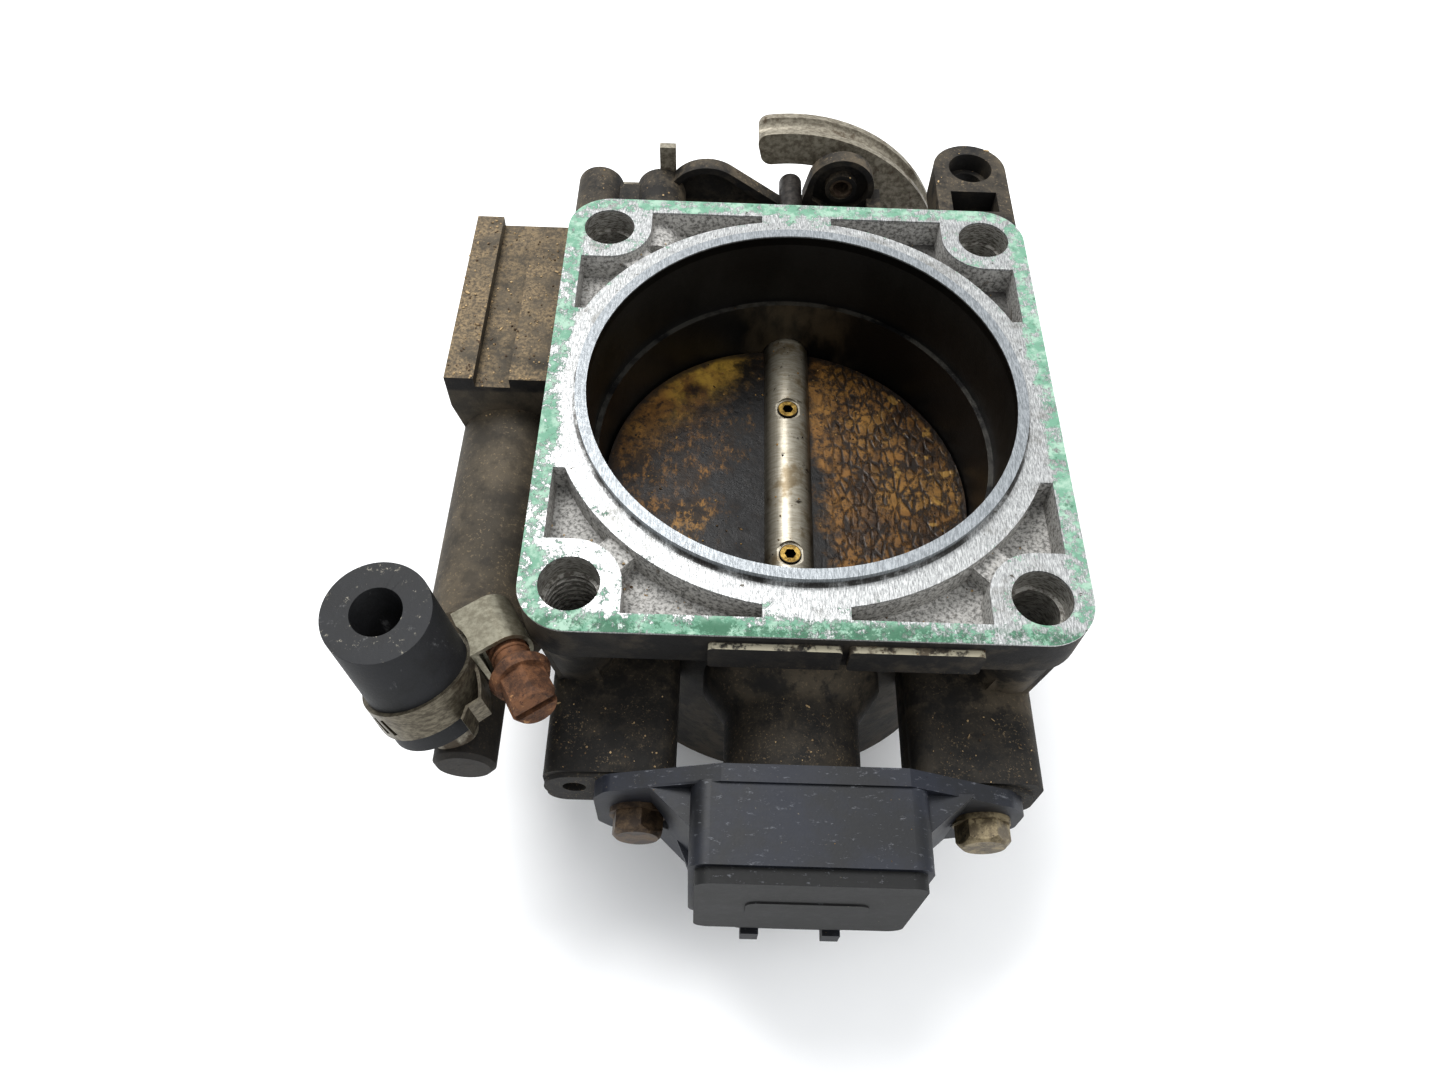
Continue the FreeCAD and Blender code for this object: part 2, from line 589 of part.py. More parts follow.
def cable_quadrant():
    """Sector with a cable groove in its rim; the web is cut away under the horn."""
    y0 = QUADRANT_Y
    y1 = QUADRANT_Y + QUADRANT_WIDTH
    rim = sector_y(QUADRANT_WEB_R, QUADRANT_R, -14, 103.5, y0, y1)
    web = sector_y(0, QUADRANT_WEB_R + 1, -14, 76, y0 + 0.5, y0 + 4.5)
    hub = rod_y(0, SHAFT_Z, 9.0, y0 + 0.5, y1)
    horn_end = rim.makeFillet(2.4, edges_along(rim, Y_AXIS, lambda c: c.x < 0))
    relief = sector_y(12, QUADRANT_WEB_R, -14, 103.5, y0 + 4.5, y1 + 1)
    body = horn_end.fuse([web, hub]).cut(relief.cut(rod_y(0, SHAFT_Z, 9.0, y0, y1 + 2)))
    groove = Part.makeTorus(QUADRANT_R + 0.4, 2.1, V(0, (y0 + y1) / 2, SHAFT_Z), Y_AXIS)
    nipple_seat = turn_about_shaft(rod_y(QUADRANT_R - 3.4, SHAFT_Z, 2.6, y0 + 1.6, y1 + 1), -7)
    return body.cut([groove, nipple_seat, drive_hole(y0 - 1, y1 + 1)])


def stop_lever():
    """Pressed-steel lever that meets the idle screw and the full-open pin."""
    y1 = LEVER_Y + LEVER_THICK
    arm = box(0, LEVER_Y, SHAFT_Z - 4, LEVER_REACH, y1, SHAFT_Z + 4)
    arm = arm.makeFillet(3.0, edges_along(arm, Y_AXIS, lambda c: c.x > 1))
    arm = turn_about_shaft(arm, LEVER_CLOSED_DEG)
    return arm.fuse(rod_y(0, SHAFT_Z, 8.5, LEVER_Y, y1)).cut(drive_hole(LEVER_Y - 1, y1 + 1))


def spring_sleeve():
    sleeve = rod_y(0, SHAFT_Z, 7.9, 59.2, 67.3).fuse(rod_y(0, SHAFT_Z, 8.4, 59.2, 60.0))
    return sleeve.cut(drive_hole(59, 68))


def coil(mean_r, wire_r, y0, pitch, turns):
    """Close-wound coil about the shaft axis."""
    helix = Part.makeHelix(pitch, pitch * turns, mean_r)
    start = helix.Edges[0].valueAt(helix.Edges[0].FirstParameter)
    tangent = helix.Edges[0].tangentAt(helix.Edges[0].FirstParameter)
    profile = Part.Wire(Part.makeCircle(wire_r, start, tangent))
    body = Part.Wire(helix.Edges).makePipeShell([profile], True, True)
    body.rotate(V(0, 0, 0), X_AXIS, 90)
    body.translate(V(0, y0 + pitch * turns, SHAFT_Z))
    return body


def inner_return_spring():
    return coil(9.3, 0.65, 60.9, 1.5, 3.6)


def outer_return_spring():
    return coil(11.6, 0.8, 60.6, 1.8, 3.1)


def quadrant_washer():
    return tube_y(0, SHAFT_Z, 8.0, 3.85, 74.0, 75.6)


def quadrant_nut():
    nut = hexagon_y(0, SHAFT_Z, 13.0, 75.6, 82.0, 30)
    return nut.cut(rod_y(0, SHAFT_Z, 3.76, 70, 90))


def anchor_pin():
    """Hollow steel pin riveted into the right rear lug."""
    return tube_y(ANCHOR_X, ANCHOR_Z, 2.5, 1.7, LUG_FRONT_Y, LUG_REAR_Y + 2.0)


def stop_pin():
    """Steel dowel with a rounded end."""
    pin = rod_y(STOP_PIN_X, STOP_PIN_Z, 2.4, 45.5, 62.0)
    return pin.makeFillet(0.8, [e for e in pin.Edges if e.CenterOfMass.y > 61.5 and len(e.Vertexes) == 1])


def rear_bracket():
    """Pressed plate on the two left rear bosses, with an upright tab."""
    y1 = LUG_REAR_Y + 1.6
    left, right = BRACKET_X
    plate = lug_y((right, BRACKET_Z, 3.4), (left, BRACKET_Z, 3.3), LUG_REAR_Y, y1)
    plate = plate.fuse(box(right - 0.3, LUG_REAR_Y, BRACKET_Z, right + 3.1, y1, 2.2))
    for x in BRACKET_X:
        plate = plate.cut(rod_y(x, BRACKET_Z, 2.1, 60, 70))
    return plate


def bracket_screws():
    screws = []
    y0 = LUG_REAR_Y + 1.6
    for x in BRACKET_X:
        head = rod_y(x, BRACKET_Z, 2.9, y0, y0 + 2.2)
        head = head.cut(box(x - 4, y0 + 1.5, BRACKET_Z - 0.4, x + 4, y0 + 3, BRACKET_Z + 0.4))
        screws.append(head.fuse(rod_y(x, BRACKET_Z, 1.95, 53, y0)))
    return screws


def idle_screw_tip_z():
    """Height of the lever's lower edge above the idle screw."""
    lean = math.radians(LEVER_CLOSED_DEG - 180)
    return SHAFT_Z - 20.0 * math.tan(lean) - 4 / math.cos(lean) - 0.45


def idle_stop_screw():
    y = LEVER_Y + LEVER_THICK / 2
    screw = rod_z(-20.0, y, 2.46, -63.0, idle_screw_tip_z() - 0.4)
    tip = Part.makeCone(2.46, 1.6, 0.4, V(-20.0, y, idle_screw_tip_z() - 0.4), Z_AXIS)
    return screw.fuse(tip).cut(box(-23, y - 0.4, -64, -17, y + 0.4, -61.8))


def idle_stop_locknut():
    nut = hexagon_y(0, 0, 8.0, 0, 3.0)
    nut.rotate(V(0, 0, 0), X_AXIS, 90)
    nut.translate(V(-20.0, LEVER_Y + LEVER_THICK / 2, -58.0))
    return nut.cut(rod_z(-20.0, LEVER_Y + LEVER_THICK / 2, 2.5, -60, -50))


# ---- coolant side ----

def inlet_root():
    """Point on the gallery axis where the inlet pipe starts."""
    return HOSE_START - HOSE_AXIS * ((HOSE_START.z - GALLERY_Z) / HOSE_AXIS.z)


def nipple_blank(gap=0.0):
    """Outside of the inlet pipe with its bead, built up +Z from the root."""
    tube = Part.makeCylinder(NIPPLE_R + gap, NIPPLE_LENGTH)
    bead_z = NIPPLE_LENGTH - NIPPLE_BEAD
    return tube.fuse(Part.makeCone(NIPPLE_R + 0.8 + gap, NIPPLE_R + gap, NIPPLE_BEAD, V(0, 0, bead_z)))


def inlet_nipple():
    tube = nipple_blank().cut(Part.makeCylinder(3.0, 30, V(0, 0, -1)))
    return along(tube, inlet_root(), HOSE_AXIS).cut(rod_y(GALLERY_X, GALLERY_Z, GALLERY_BORE_R, -80, 0))


def coolant_hose():
    """Straight stub with a slanting knife cut at its open end."""
    hose = Part.makeCylinder(HOSE_R, HOSE_LENGTH + 12)
    hose = along(hose, HOSE_START, HOSE_AXIS)
    blade = Part.makeBox(80, 80, 40, V(-40, -40, 0))
    hose = hose.cut(along(blade, HOSE_START + HOSE_AXIS * HOSE_LENGTH, CUT_NORMAL))
    seat_length = NIPPLE_LENGTH + NIPPLE_END_GAP
    relief = Part.makeCylinder(HOSE_BORE_R + 0.5, NIPPLE_END_GAP, V(0, 0, NIPPLE_LENGTH))
    seat = nipple_blank(NIPPLE_SIDE_GAP).fuse(relief)
    bore = along(Part.makeCylinder(HOSE_BORE_R, 40), inlet_root() + HOSE_AXIS * seat_length, HOSE_AXIS)
    return hose.cut([bore, along(seat, inlet_root(), HOSE_AXIS)])


def clamp_band():
    """Thin band with a row of worm slots and a tail that springs outwards."""
    r = HOSE_R + 0.02
    band = Part.makeCylinder(r + BAND_THICK, BAND_WIDTH).cut(Part.makeCylinder(r, 20, V(0, 0, -1)))
    slots = []
    for i in range(14):
        slot = Part.makeBox(3.0, 0.9, BAND_WIDTH - 2.2, V(r - 1, -0.45, 1.1))
        slot.rotate(V(r, 0, BAND_WIDTH / 2), X_AXIS, 20)
        slot.rotate(V(0, 0, 0), Z_AXIS, 105 + 11 * i)
        slots.append(slot)
    band = along(band.cut(slots), HOSE_START + HOSE_AXIS * BAND_START, HOSE_AXIS)
    return band.fuse(clamp_frame(clamp_tail()))


def clamp_tail():
    """Free end of the band, sprung away from the hose beside the screw."""
    half = BAND_WIDTH / 2 - 0.6
    r = HOSE_R + BAND_THICK
    bends = [(r, 19), (r + 0.8, 30), (r + 1.8, 42), (r + 3.2, 54), (r + 2.2, 64), (r + 3.4, 74)]
    outer = [(a * math.cos(math.radians(d)), a * math.sin(math.radians(d))) for a, d in bends]
    inner = [((a - 0.6) * math.cos(math.radians(d)), (a - 0.6) * math.sin(math.radians(d))) for a, d in bends]
    return prism_y(outer + inner[::-1], -half, half)


def clamp_frame(shape):
    """Place a shape drawn with the worm along +Z, the hose axis along +Y and the hose at the origin."""
    placed = shape.copy()
    worm = V(WORM_AXIS).normalize()
    side = worm.cross(HOSE_AXIS).normalize() * -1
    rise = worm.cross(side)
    matrix = FreeCAD.Matrix(side.x, rise.x, worm.x, 0,
                            side.y, rise.y, worm.y, 0,
                            side.z, rise.z, worm.z, 0,
                            0, 0, 0, 1)
    centre = HOSE_START + HOSE_AXIS * (BAND_START + BAND_WIDTH / 2 - 0.4)
    placed.Placement = FreeCAD.Placement(centre, FreeCAD.Rotation(matrix))
    return placed


def clamp_housing():
    """Pressed saddle round the worm screw."""
    x = WORM_OFFSET
    shell = Part.makeCylinder(4.1, 10.6, V(x, 0, -7.8), Z_AXIS)
    shell = shell.fuse(Part.makeBox(x - HOSE_R, 8.2, 10.6, V(HOSE_R, -4.1, -7.8)))
    shell = shell.cut(Part.makeCylinder(3.35, 13, V(x, 0, -8.8), Z_AXIS))
    shell = shell.cut(Part.makeBox(x - HOSE_R - 1.3, 6.7, 13, V(HOSE_R + 1.3, -3.35, -8.8)))
    keep_out = Part.makeCylinder(HOSE_R + BAND_THICK + 0.05, 60, V(0, 0, -30))
    return clamp_frame(shell).cut(along(keep_out, HOSE_START, HOSE_AXIS))


def clamp_screw():
    """Slotted hexagon worm screw with a flared collar."""
    x = WORM_OFFSET
    screw = Part.makeCylinder(2.9, 12.8, V(x, 0, -7.0), Z_AXIS)
    screw = screw.fuse([Part.makeTorus(2.9, 0.35, V(x, 0, -6.0 + 1.6 * i), Z_AXIS) for i in range(7)])
    neck = Part.makeCone(3.0, 5.1, 2.8, V(x, 0, 5.2), Z_AXIS)
    collar = Part.makeCone(5.1, 4.5, 1.3, V(x, 0, 8.0), Z_AXIS)
    angles = [math.radians(60 * i + 14) for i in range(6)]
    r = 7.0 / math.sqrt(3)
    outline = [V(x + r * math.cos(a), r * math.sin(a), 9.2) for a in angles]
    head = Part.Face(Part.makePolygon(outline + outline[:1])).extrude(V(0, 0, 6.2))
    head = head.common(Part.makeCone(7.4, 3.3, 6.2, V(x, 0, 9.2), Z_AXIS))
    slot = Part.makeBox(10, 1.2, 3.4, V(x - 5, -0.6, 12.8))
    return clamp_frame(screw.fuse([neck, collar, head]).cut(slot))


def outlet_nipple():
    """Second pipe of the gallery, pointing down under the side pad."""
    root = rod_z(GALLERY_X, 28.0, 3.95, OUTLET_TOP, GALLERY_Z - 5)
    tube = root.fuse(rod_z(GALLERY_X, 28.0, OUTLET_R, OUTLET_BOTTOM, OUTLET_TOP))
    return tube.cut(rod_z(GALLERY_X, 28.0, 3.0, -60, -20))


def gallery_plug():
    plug = rod_y(GALLERY_X, GALLERY_Z, 6.5, 45.5, 49.0)
    return plug.cut(rod_y(GALLERY_X, GALLERY_Z, 5.4, 46.6, 50))


front_bush, rear_bush = shaft_bushes()
export("housing_casting", housing_casting())
export("throttle_shaft", throttle_shaft())
export("throttle_plate", throttle_plate())
export("plate_screws", plate_screws())
export("front_shaft_bush", front_bush)
export("rear_shaft_bush", rear_bush)
export("front_shaft_seal", shaft_seal(SENSOR_FACE_Y, -1))
export("rear_shaft_seal", shaft_seal(REAR_BOSS_Y - SEAL_LENGTH, 1))
export("shaft_retaining_ring", shaft_retaining_ring())
export("sensor_case", sensor_case())
export("sensor_lid", sensor_lid())
export("sensor_track", sensor_track())
export("sensor_terminals", sensor_terminals())
export("sensor_rotor", sensor_rotor())
export("sensor_wiper", sensor_wiper())
export("sensor_seal_ring", sensor_seal_ring())
export("sensor_sleeves", sensor_sleeves())
export("sensor_washers", sensor_washers())
export("sensor_screws", sensor_screws())
export("cable_quadrant", cable_quadrant())
export("stop_lever", stop_lever())
export("spring_sleeve", spring_sleeve())
export("inner_return_spring", inner_return_spring())
export("outer_return_spring", outer_return_spring())
export("quadrant_washer", quadrant_washer())
export("quadrant_nut", quadrant_nut())
export("anchor_pin", anchor_pin())
export("stop_pin", stop_pin())
export("rear_bracket", rear_bracket())
export("bracket_screws", bracket_screws())
export("idle_stop_screw", idle_stop_screw())
export("idle_stop_locknut", idle_stop_locknut())
export("inlet_nipple", inlet_nipple())
export("coolant_hose", coolant_hose())
export("clamp_band", clamp_band())
export("clamp_housing", clamp_housing())
export("clamp_screw", clamp_screw())
export("outlet_nipple", outlet_nipple())
export("gallery_plug", gallery_plug())
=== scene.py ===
import json
import math
import random

import bmesh
import bpy
from mathutils import Matrix, Vector
from mathutils.bvhtree import BVHTree


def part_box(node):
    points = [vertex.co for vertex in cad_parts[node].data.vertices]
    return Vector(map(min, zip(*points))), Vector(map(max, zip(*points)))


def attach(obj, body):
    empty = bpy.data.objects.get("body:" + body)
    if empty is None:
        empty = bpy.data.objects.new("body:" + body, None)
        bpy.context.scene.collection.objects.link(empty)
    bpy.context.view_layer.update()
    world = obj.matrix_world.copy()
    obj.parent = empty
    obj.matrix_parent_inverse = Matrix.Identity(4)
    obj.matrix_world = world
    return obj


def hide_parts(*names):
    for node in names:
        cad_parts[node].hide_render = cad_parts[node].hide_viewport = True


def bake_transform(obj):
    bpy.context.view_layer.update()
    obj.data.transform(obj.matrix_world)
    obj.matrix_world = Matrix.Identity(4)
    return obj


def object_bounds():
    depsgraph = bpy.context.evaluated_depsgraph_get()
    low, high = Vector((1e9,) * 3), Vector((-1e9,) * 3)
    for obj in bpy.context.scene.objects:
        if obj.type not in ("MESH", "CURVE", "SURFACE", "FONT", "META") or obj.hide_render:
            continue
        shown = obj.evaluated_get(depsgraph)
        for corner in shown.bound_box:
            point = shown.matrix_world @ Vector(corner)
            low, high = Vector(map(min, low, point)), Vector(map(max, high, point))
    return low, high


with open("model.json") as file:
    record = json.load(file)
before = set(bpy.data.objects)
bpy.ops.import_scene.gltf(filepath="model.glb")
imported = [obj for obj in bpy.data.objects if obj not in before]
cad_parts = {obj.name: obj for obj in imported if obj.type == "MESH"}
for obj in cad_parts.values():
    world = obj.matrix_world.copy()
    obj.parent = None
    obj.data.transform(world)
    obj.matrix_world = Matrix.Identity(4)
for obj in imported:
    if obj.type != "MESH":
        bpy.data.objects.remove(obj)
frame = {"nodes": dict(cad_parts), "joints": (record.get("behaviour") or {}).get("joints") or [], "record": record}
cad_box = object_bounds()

# Looks of a used throttle body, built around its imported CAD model. Metres, +Z out of the flange.

MM = 0.001
NODES = frame["nodes"]
MOUNTS = {mount["name"]: mount for mount in frame["record"]["mounts"]}
SLOT_OF = {part["node"]: part["material_slot"] for part in frame["record"]["subparts"]}
JOINT = frame["joints"][0]
SHAFT_Z = JOINT["pos_m"][2]

HOUSING_LOW, HOUSING_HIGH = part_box("housing_casting")
PLATE_LOW, PLATE_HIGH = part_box("throttle_plate")
CASE_LOW, CASE_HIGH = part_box("sensor_case")
FLANGE_HALF_X = HOUSING_HIGH.x
BOLT_X = MOUNTS["flange_bolts"]["dims"]["spacing_x_mm"] / 2 * MM
BOLT_Y = MOUNTS["flange_bolts"]["dims"]["spacing_y_mm"] / 2 * MM
FLANGE_HALF_Y = BOLT_Y + 8.5 * MM
LIP_TOP = MOUNTS["engine_bore"]["pos_m"][2]
RECESS_R = MOUNTS["engine_bore"]["dims"]["r_mm"] * MM
STEP_Z = LIP_TOP - MOUNTS["engine_bore"]["dims"]["length_mm"] * MM
LIP_OUT_R = RECESS_R + 2 * MM
RING_R = 44.8 * MM
POCKET_FLOOR_Z = -6.4 * MM
WALL_WIDTH = 3.0 * MM
GALLERY_EDGE_X = -46 * MM
FLANGE_UNDERSIDE_Z = -9 * MM
HOLE_R = 5.15 * MM
SHARP = 0.2 * MM
PLATE_SCREW_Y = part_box("plate_screws")[1].y - 2.1 * MM
PLATE_SCREW_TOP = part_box("plate_screws")[1].z


def rgb(red, green, blue):
    """Linear colour from everyday 0-255 screen values."""
    out = []
    for part in (red, green, blue):
        c = part / 255
        out.append(c / 12.92 if c < 0.04045 else ((c + 0.055) / 1.055) ** 2.4)
    return (*out, 1.0)


# ---- materials ----

class Value:
    """A number in a node tree that can be added, multiplied and ramped."""

    def __init__(self, tree, socket):
        self.tree = tree
        self.socket = socket

    def math(self, operation, other=None):
        node = self.tree.nodes.new("ShaderNodeMath")
        node.operation = operation
        self.tree.links.new(self.socket, node.inputs[0])
        if isinstance(other, Value):
            self.tree.links.new(other.socket, node.inputs[1])
        elif other is not None:
            node.inputs[1].default_value = other
        return Value(self.tree, node.outputs[0])

    def __add__(self, other):
        return self.math("ADD", other)

    def __sub__(self, other):
        return self.math("SUBTRACT", other)

    def __mul__(self, other):
        return self.math("MULTIPLY", other)

    def abs(self):
        return self.math("ABSOLUTE")

    def root(self):
        return self.math("SQRT")

    def most(self, other):
        return self.math("MAXIMUM", other)

    def flip(self):
        return self.ramp(1.0, 0.0)

    def ramp(self, start, end):
        """0 at start, 1 at end, smooth between; start may be above end."""
        node = self.tree.nodes.new("ShaderNodeMapRange")
        node.interpolation_type = "SMOOTHSTEP"
        node.inputs["From Min"].default_value = min(start, end)
        node.inputs["From Max"].default_value = max(start, end)
        node.inputs["To Min"].default_value = 0.0 if start < end else 1.0
        node.inputs["To Max"].default_value = 1.0 if start < end else 0.0
        self.tree.links.new(self.socket, node.inputs["Value"])
        return Value(self.tree, node.outputs["Result"])

    def between(self, low, high, soft):
        return self.ramp(low - soft, low) * self.ramp(high + soft, high)


class Paint:
    """One procedural material, drawn in the object's own coordinates."""

    def __init__(self, name):
        self.material = bpy.data.materials.new(name)
        self.material.use_nodes = True
        self.tree = self.material.node_tree
        self.shader = self.tree.nodes["Principled BSDF"]
        source = self.tree.nodes.new("ShaderNodeTexCoord")
        self.place = source.outputs["Object"]
        self.normal = source.outputs["Normal"]

    def axes(self, vector):
        node = self.tree.nodes.new("ShaderNodeSeparateXYZ")
        self.tree.links.new(vector, node.inputs[0])
        return [Value(self.tree, out) for out in node.outputs]

    def mapped(self, seed, stretch):
        node = self.tree.nodes.new("ShaderNodeMapping")
        node.inputs["Location"].default_value = (0.37 * seed, 0.61 * seed, 0.83 * seed)
        node.inputs["Scale"].default_value = stretch
        self.tree.links.new(self.place, node.inputs["Vector"])
        return node.outputs[0]

    def noise(self, scale, detail=4.0, rough=0.6, seed=1, stretch=(1, 1, 1), warp=0.0):
        node = self.tree.nodes.new("ShaderNodeTexNoise")
        node.inputs["Scale"].default_value = scale
        node.inputs["Detail"].default_value = detail
        node.inputs["Roughness"].default_value = rough
        node.inputs["Distortion"].default_value = warp
        self.tree.links.new(self.mapped(seed, stretch), node.inputs["Vector"])
        return Value(self.tree, node.outputs[0])

    def cells(self, scale, seed=1, edge=True, stretch=(1, 1, 1)):
        node = self.tree.nodes.new("ShaderNodeTexVoronoi")
        node.feature = "DISTANCE_TO_EDGE" if edge else "F1"
        node.inputs["Scale"].default_value = scale
        self.tree.links.new(self.mapped(seed, stretch), node.inputs["Vector"])
        return Value(self.tree, node.outputs["Distance"])

    def mix(self, amount, first, second):
        node = self.tree.nodes.new("ShaderNodeMix")
        node.data_type = "RGBA"
        self.tree.links.new(amount.socket, node.inputs["Factor"])
        for socket, colour in ((node.inputs[6], first), (node.inputs[7], second)):
            if isinstance(colour, tuple):
                socket.default_value = colour
            else:
                self.tree.links.new(colour, socket)
        return node.outputs[2]

    def finish(self, colour, roughness, height, metallic=0.0, depth=0.1 * MM, strength=0.6):
        self.tree.links.new(colour, self.shader.inputs["Base Color"])
        self.tree.links.new(roughness.socket, self.shader.inputs["Roughness"])
        if isinstance(metallic, Value):
            self.tree.links.new(metallic.socket, self.shader.inputs["Metallic"])
        else:
            self.shader.inputs["Metallic"].default_value = metallic
        bump = self.tree.nodes.new("ShaderNodeBump")
        bump.inputs["Strength"].default_value = strength
        bump.inputs["Distance"].default_value = depth
        self.tree.links.new(height.socket, bump.inputs["Height"])
        self.tree.links.new(bump.outputs[0], self.shader.inputs["Normal"])
        return self.material


def cast_aluminium():
    """Grimy casting with painted shade low down and under the flange front, bright machined flange with gasket
    residue, sooty bore with a painted sheen and a painted highlight.
    """
    p = Paint("cast_aluminium")
    x, y, z = p.axes(p.place)
    _, ny, nz = p.axes(p.normal)
    r = (x * x + y * y).root()
    fine = p.noise(1500, 6, 0.7)
    medium = p.noise(420, 5, 0.65, seed=2)
    broad = p.noise(75, 5, 0.6, seed=3)
    grime = p.noise(190, 7, 0.7, seed=4)

    # rough casting with sand-coloured dirt, and painted shade low on the body, on the flange front wall and under
    # it
    cast = p.mix(broad.ramp(0.36, 0.64), rgb(40, 36, 30), rgb(86, 77, 63))
    gallery = x.ramp(GALLERY_EDGE_X + 3 * MM, GALLERY_EDGE_X)
    cast = p.mix(gallery * 0.35, cast, rgb(88, 79, 64))
    cast = p.mix(grime.ramp(0.46, 0.60) * (gallery.flip() * 0.45 + 0.4), cast, rgb(18, 16, 14))
    dust = p.noise(1700, 4, 0.7, seed=5).ramp(0.56, 0.65)
    dust_zone = grime.ramp(0.62, 0.36) * nz.ramp(-0.3, 0.7)
    cast = p.mix(dust * dust_zone * 0.7, cast, rgb(128, 112, 88))
    gallery_top = x.ramp(GALLERY_EDGE_X, GALLERY_EDGE_X - 2 * MM)
    gallery_top = gallery_top * nz.ramp(0.5, 0.9) * z.ramp(-10 * MM, -7.5 * MM)
    sand = p.mix(fine.ramp(0.4, 0.6), rgb(78, 68, 54), rgb(134, 116, 88))
    cast = p.mix(gallery_top * p.noise(160, 6, 0.7, seed=6).ramp(0.36, 0.56) * 0.9, cast, sand)
    # painted shade: darker towards the bottom of the body, less on the gallery
    deep_shade = z.ramp(-12 * MM, -40 * MM) * (gallery.flip() * 0.8 + 0.2)
    cast = p.mix(deep_shade * 0.6, cast, rgb(20, 18, 16))
    # painted shade on the front-facing wall of the flange, mottled by noise
    front_wall_shade = ny.ramp(-0.5, -0.9) * z.ramp(FLANGE_UNDERSIDE_Z - 1 * MM, FLANGE_UNDERSIDE_Z)
    shade_mottle = p.noise(130, 6, 0.7, seed=7).ramp(0.42, 0.58)
    cast = p.mix(front_wall_shade * (shade_mottle * 0.4 + 0.6), cast, rgb(15, 13, 12))
    blocks = y.ramp(-FLANGE_HALF_Y, -FLANGE_HALF_Y - 2 * MM)
    blocks = blocks * z.ramp(FLANGE_UNDERSIDE_Z + 3 * MM, FLANGE_UNDERSIDE_Z)
    # painted shade under the front of the flange
    cast = p.mix(blocks * 0.6, cast, rgb(17, 15, 13))
    specks = p.noise(2100, 4, 0.75, seed=29).ramp(0.57, 0.65)
    specks = specks * p.noise(140, 5, 0.7, seed=30).ramp(0.40, 0.58)
    cast = p.mix(specks * blocks * nz.ramp(-0.6, 0.0) * 0.8, cast, rgb(118, 102, 78))
    pads = y.ramp(-FLANGE_HALF_Y - 0.1 * MM, -FLANGE_HALF_Y - 0.3 * MM) * z.ramp(-3.2 * MM, -2.4 * MM)
    pads = pads * z.ramp(-0.6 * MM, -1.4 * MM) * nz.ramp(0.1, 0.5)
    cast = p.mix(pads * medium.ramp(0.40, 0.52) * 0.8, cast, rgb(170, 164, 144))

    # speckled pocket floors, with painted shade in the right rear pocket
    from_side = x.abs() * -1.0 + FLANGE_HALF_X
    from_end = y.abs() * -1.0 + FLANGE_HALF_Y
    inside = from_side.ramp(WALL_WIDTH, WALL_WIDTH + 2 * SHARP)
    inside = inside * from_end.ramp(WALL_WIDTH, WALL_WIDTH + 2 * SHARP)
    pocket = inside * z.between(POCKET_FLOOR_Z, -0.5 * MM, SHARP) * r.ramp(RING_R - 1 * MM, RING_R)
    grain = p.mix(fine.ramp(0.36, 0.60), rgb(104, 103, 100), rgb(184, 182, 178))
    grain = p.mix(p.noise(230, 6, 0.75, seed=8).ramp(0.57, 0.68) * 0.7, grain, rgb(84, 74, 62))
    # painted shade on the floor of the right rear pocket
    rear_pocket_shade = (x + y).ramp(48 * MM, 66 * MM) * nz.ramp(0.5, 0.9)
    grain = p.mix(rear_pocket_shade * 0.8, grain, rgb(44, 42, 40))
    plugged_end = y.ramp(-52 * MM, -60 * MM) * x.ramp(GALLERY_EDGE_X, GALLERY_EDGE_X - 2 * MM)
    cast = p.mix(plugged_end * 0.7, cast, rgb(20, 18, 17))
    skin = p.mix(pocket, cast, grain)

    # machined face, lip and hole walls
    lathe = p.noise(900, 4, 0.7, seed=9, stretch=(1, 1, 5))
    scratch = p.noise(700, 5, 0.75, seed=10, stretch=(6, 1, 1))
    bright = p.mix(scratch.ramp(0.40, 0.62), rgb(134, 135, 135), rgb(196, 197, 196))
    bright = p.mix(p.noise(120, 6, 0.7, seed=11).ramp(0.52, 0.70) * 0.6, bright, rgb(104, 101, 94))
    pits = p.noise(650, 3, 0.6, seed=12).ramp(0.66, 0.72)
    bright = p.mix(pits * 0.9, bright, rgb(66, 60, 50))
    lip = z.ramp(0.4 * MM, 0.7 * MM)
    bright = p.mix(lip, bright, p.mix(scratch.ramp(0.40, 0.62), rgb(118, 122, 125), rgb(158, 162, 165)))
    foot = r.between(LIP_OUT_R, LIP_OUT_R + 0.45 * MM, SHARP)
    foot = foot * p.noise(150, 5, 0.7, seed=26).ramp(0.36, 0.56)
    bright = p.mix(foot * z.ramp(1.0 * MM, 0.6 * MM) * 0.85, bright, rgb(40, 36, 32))
    face = z.ramp(-0.5 * MM, -0.25 * MM)
    face = face * y.abs().ramp(FLANGE_HALF_Y + 0.3 * MM, FLANGE_HALF_Y + 0.1 * MM)
    holes = None
    for sx in (-1, 1):
        for sy in (-1, 1):
            dx = x - sx * BOLT_X
            dy = y - sy * BOLT_Y
            near = (dx * dx + dy * dy).root().ramp(HOLE_R + SHARP, HOLE_R)
            holes = near if holes is None else holes.most(near)
    hole_metal = p.mix(lathe.ramp(0.4, 0.6), rgb(96, 92, 86), rgb(168, 166, 160))
    skin = p.mix(holes * z.ramp(-30 * MM, -9 * MM), skin, hole_metal)
    skin = p.mix(face, skin, bright)

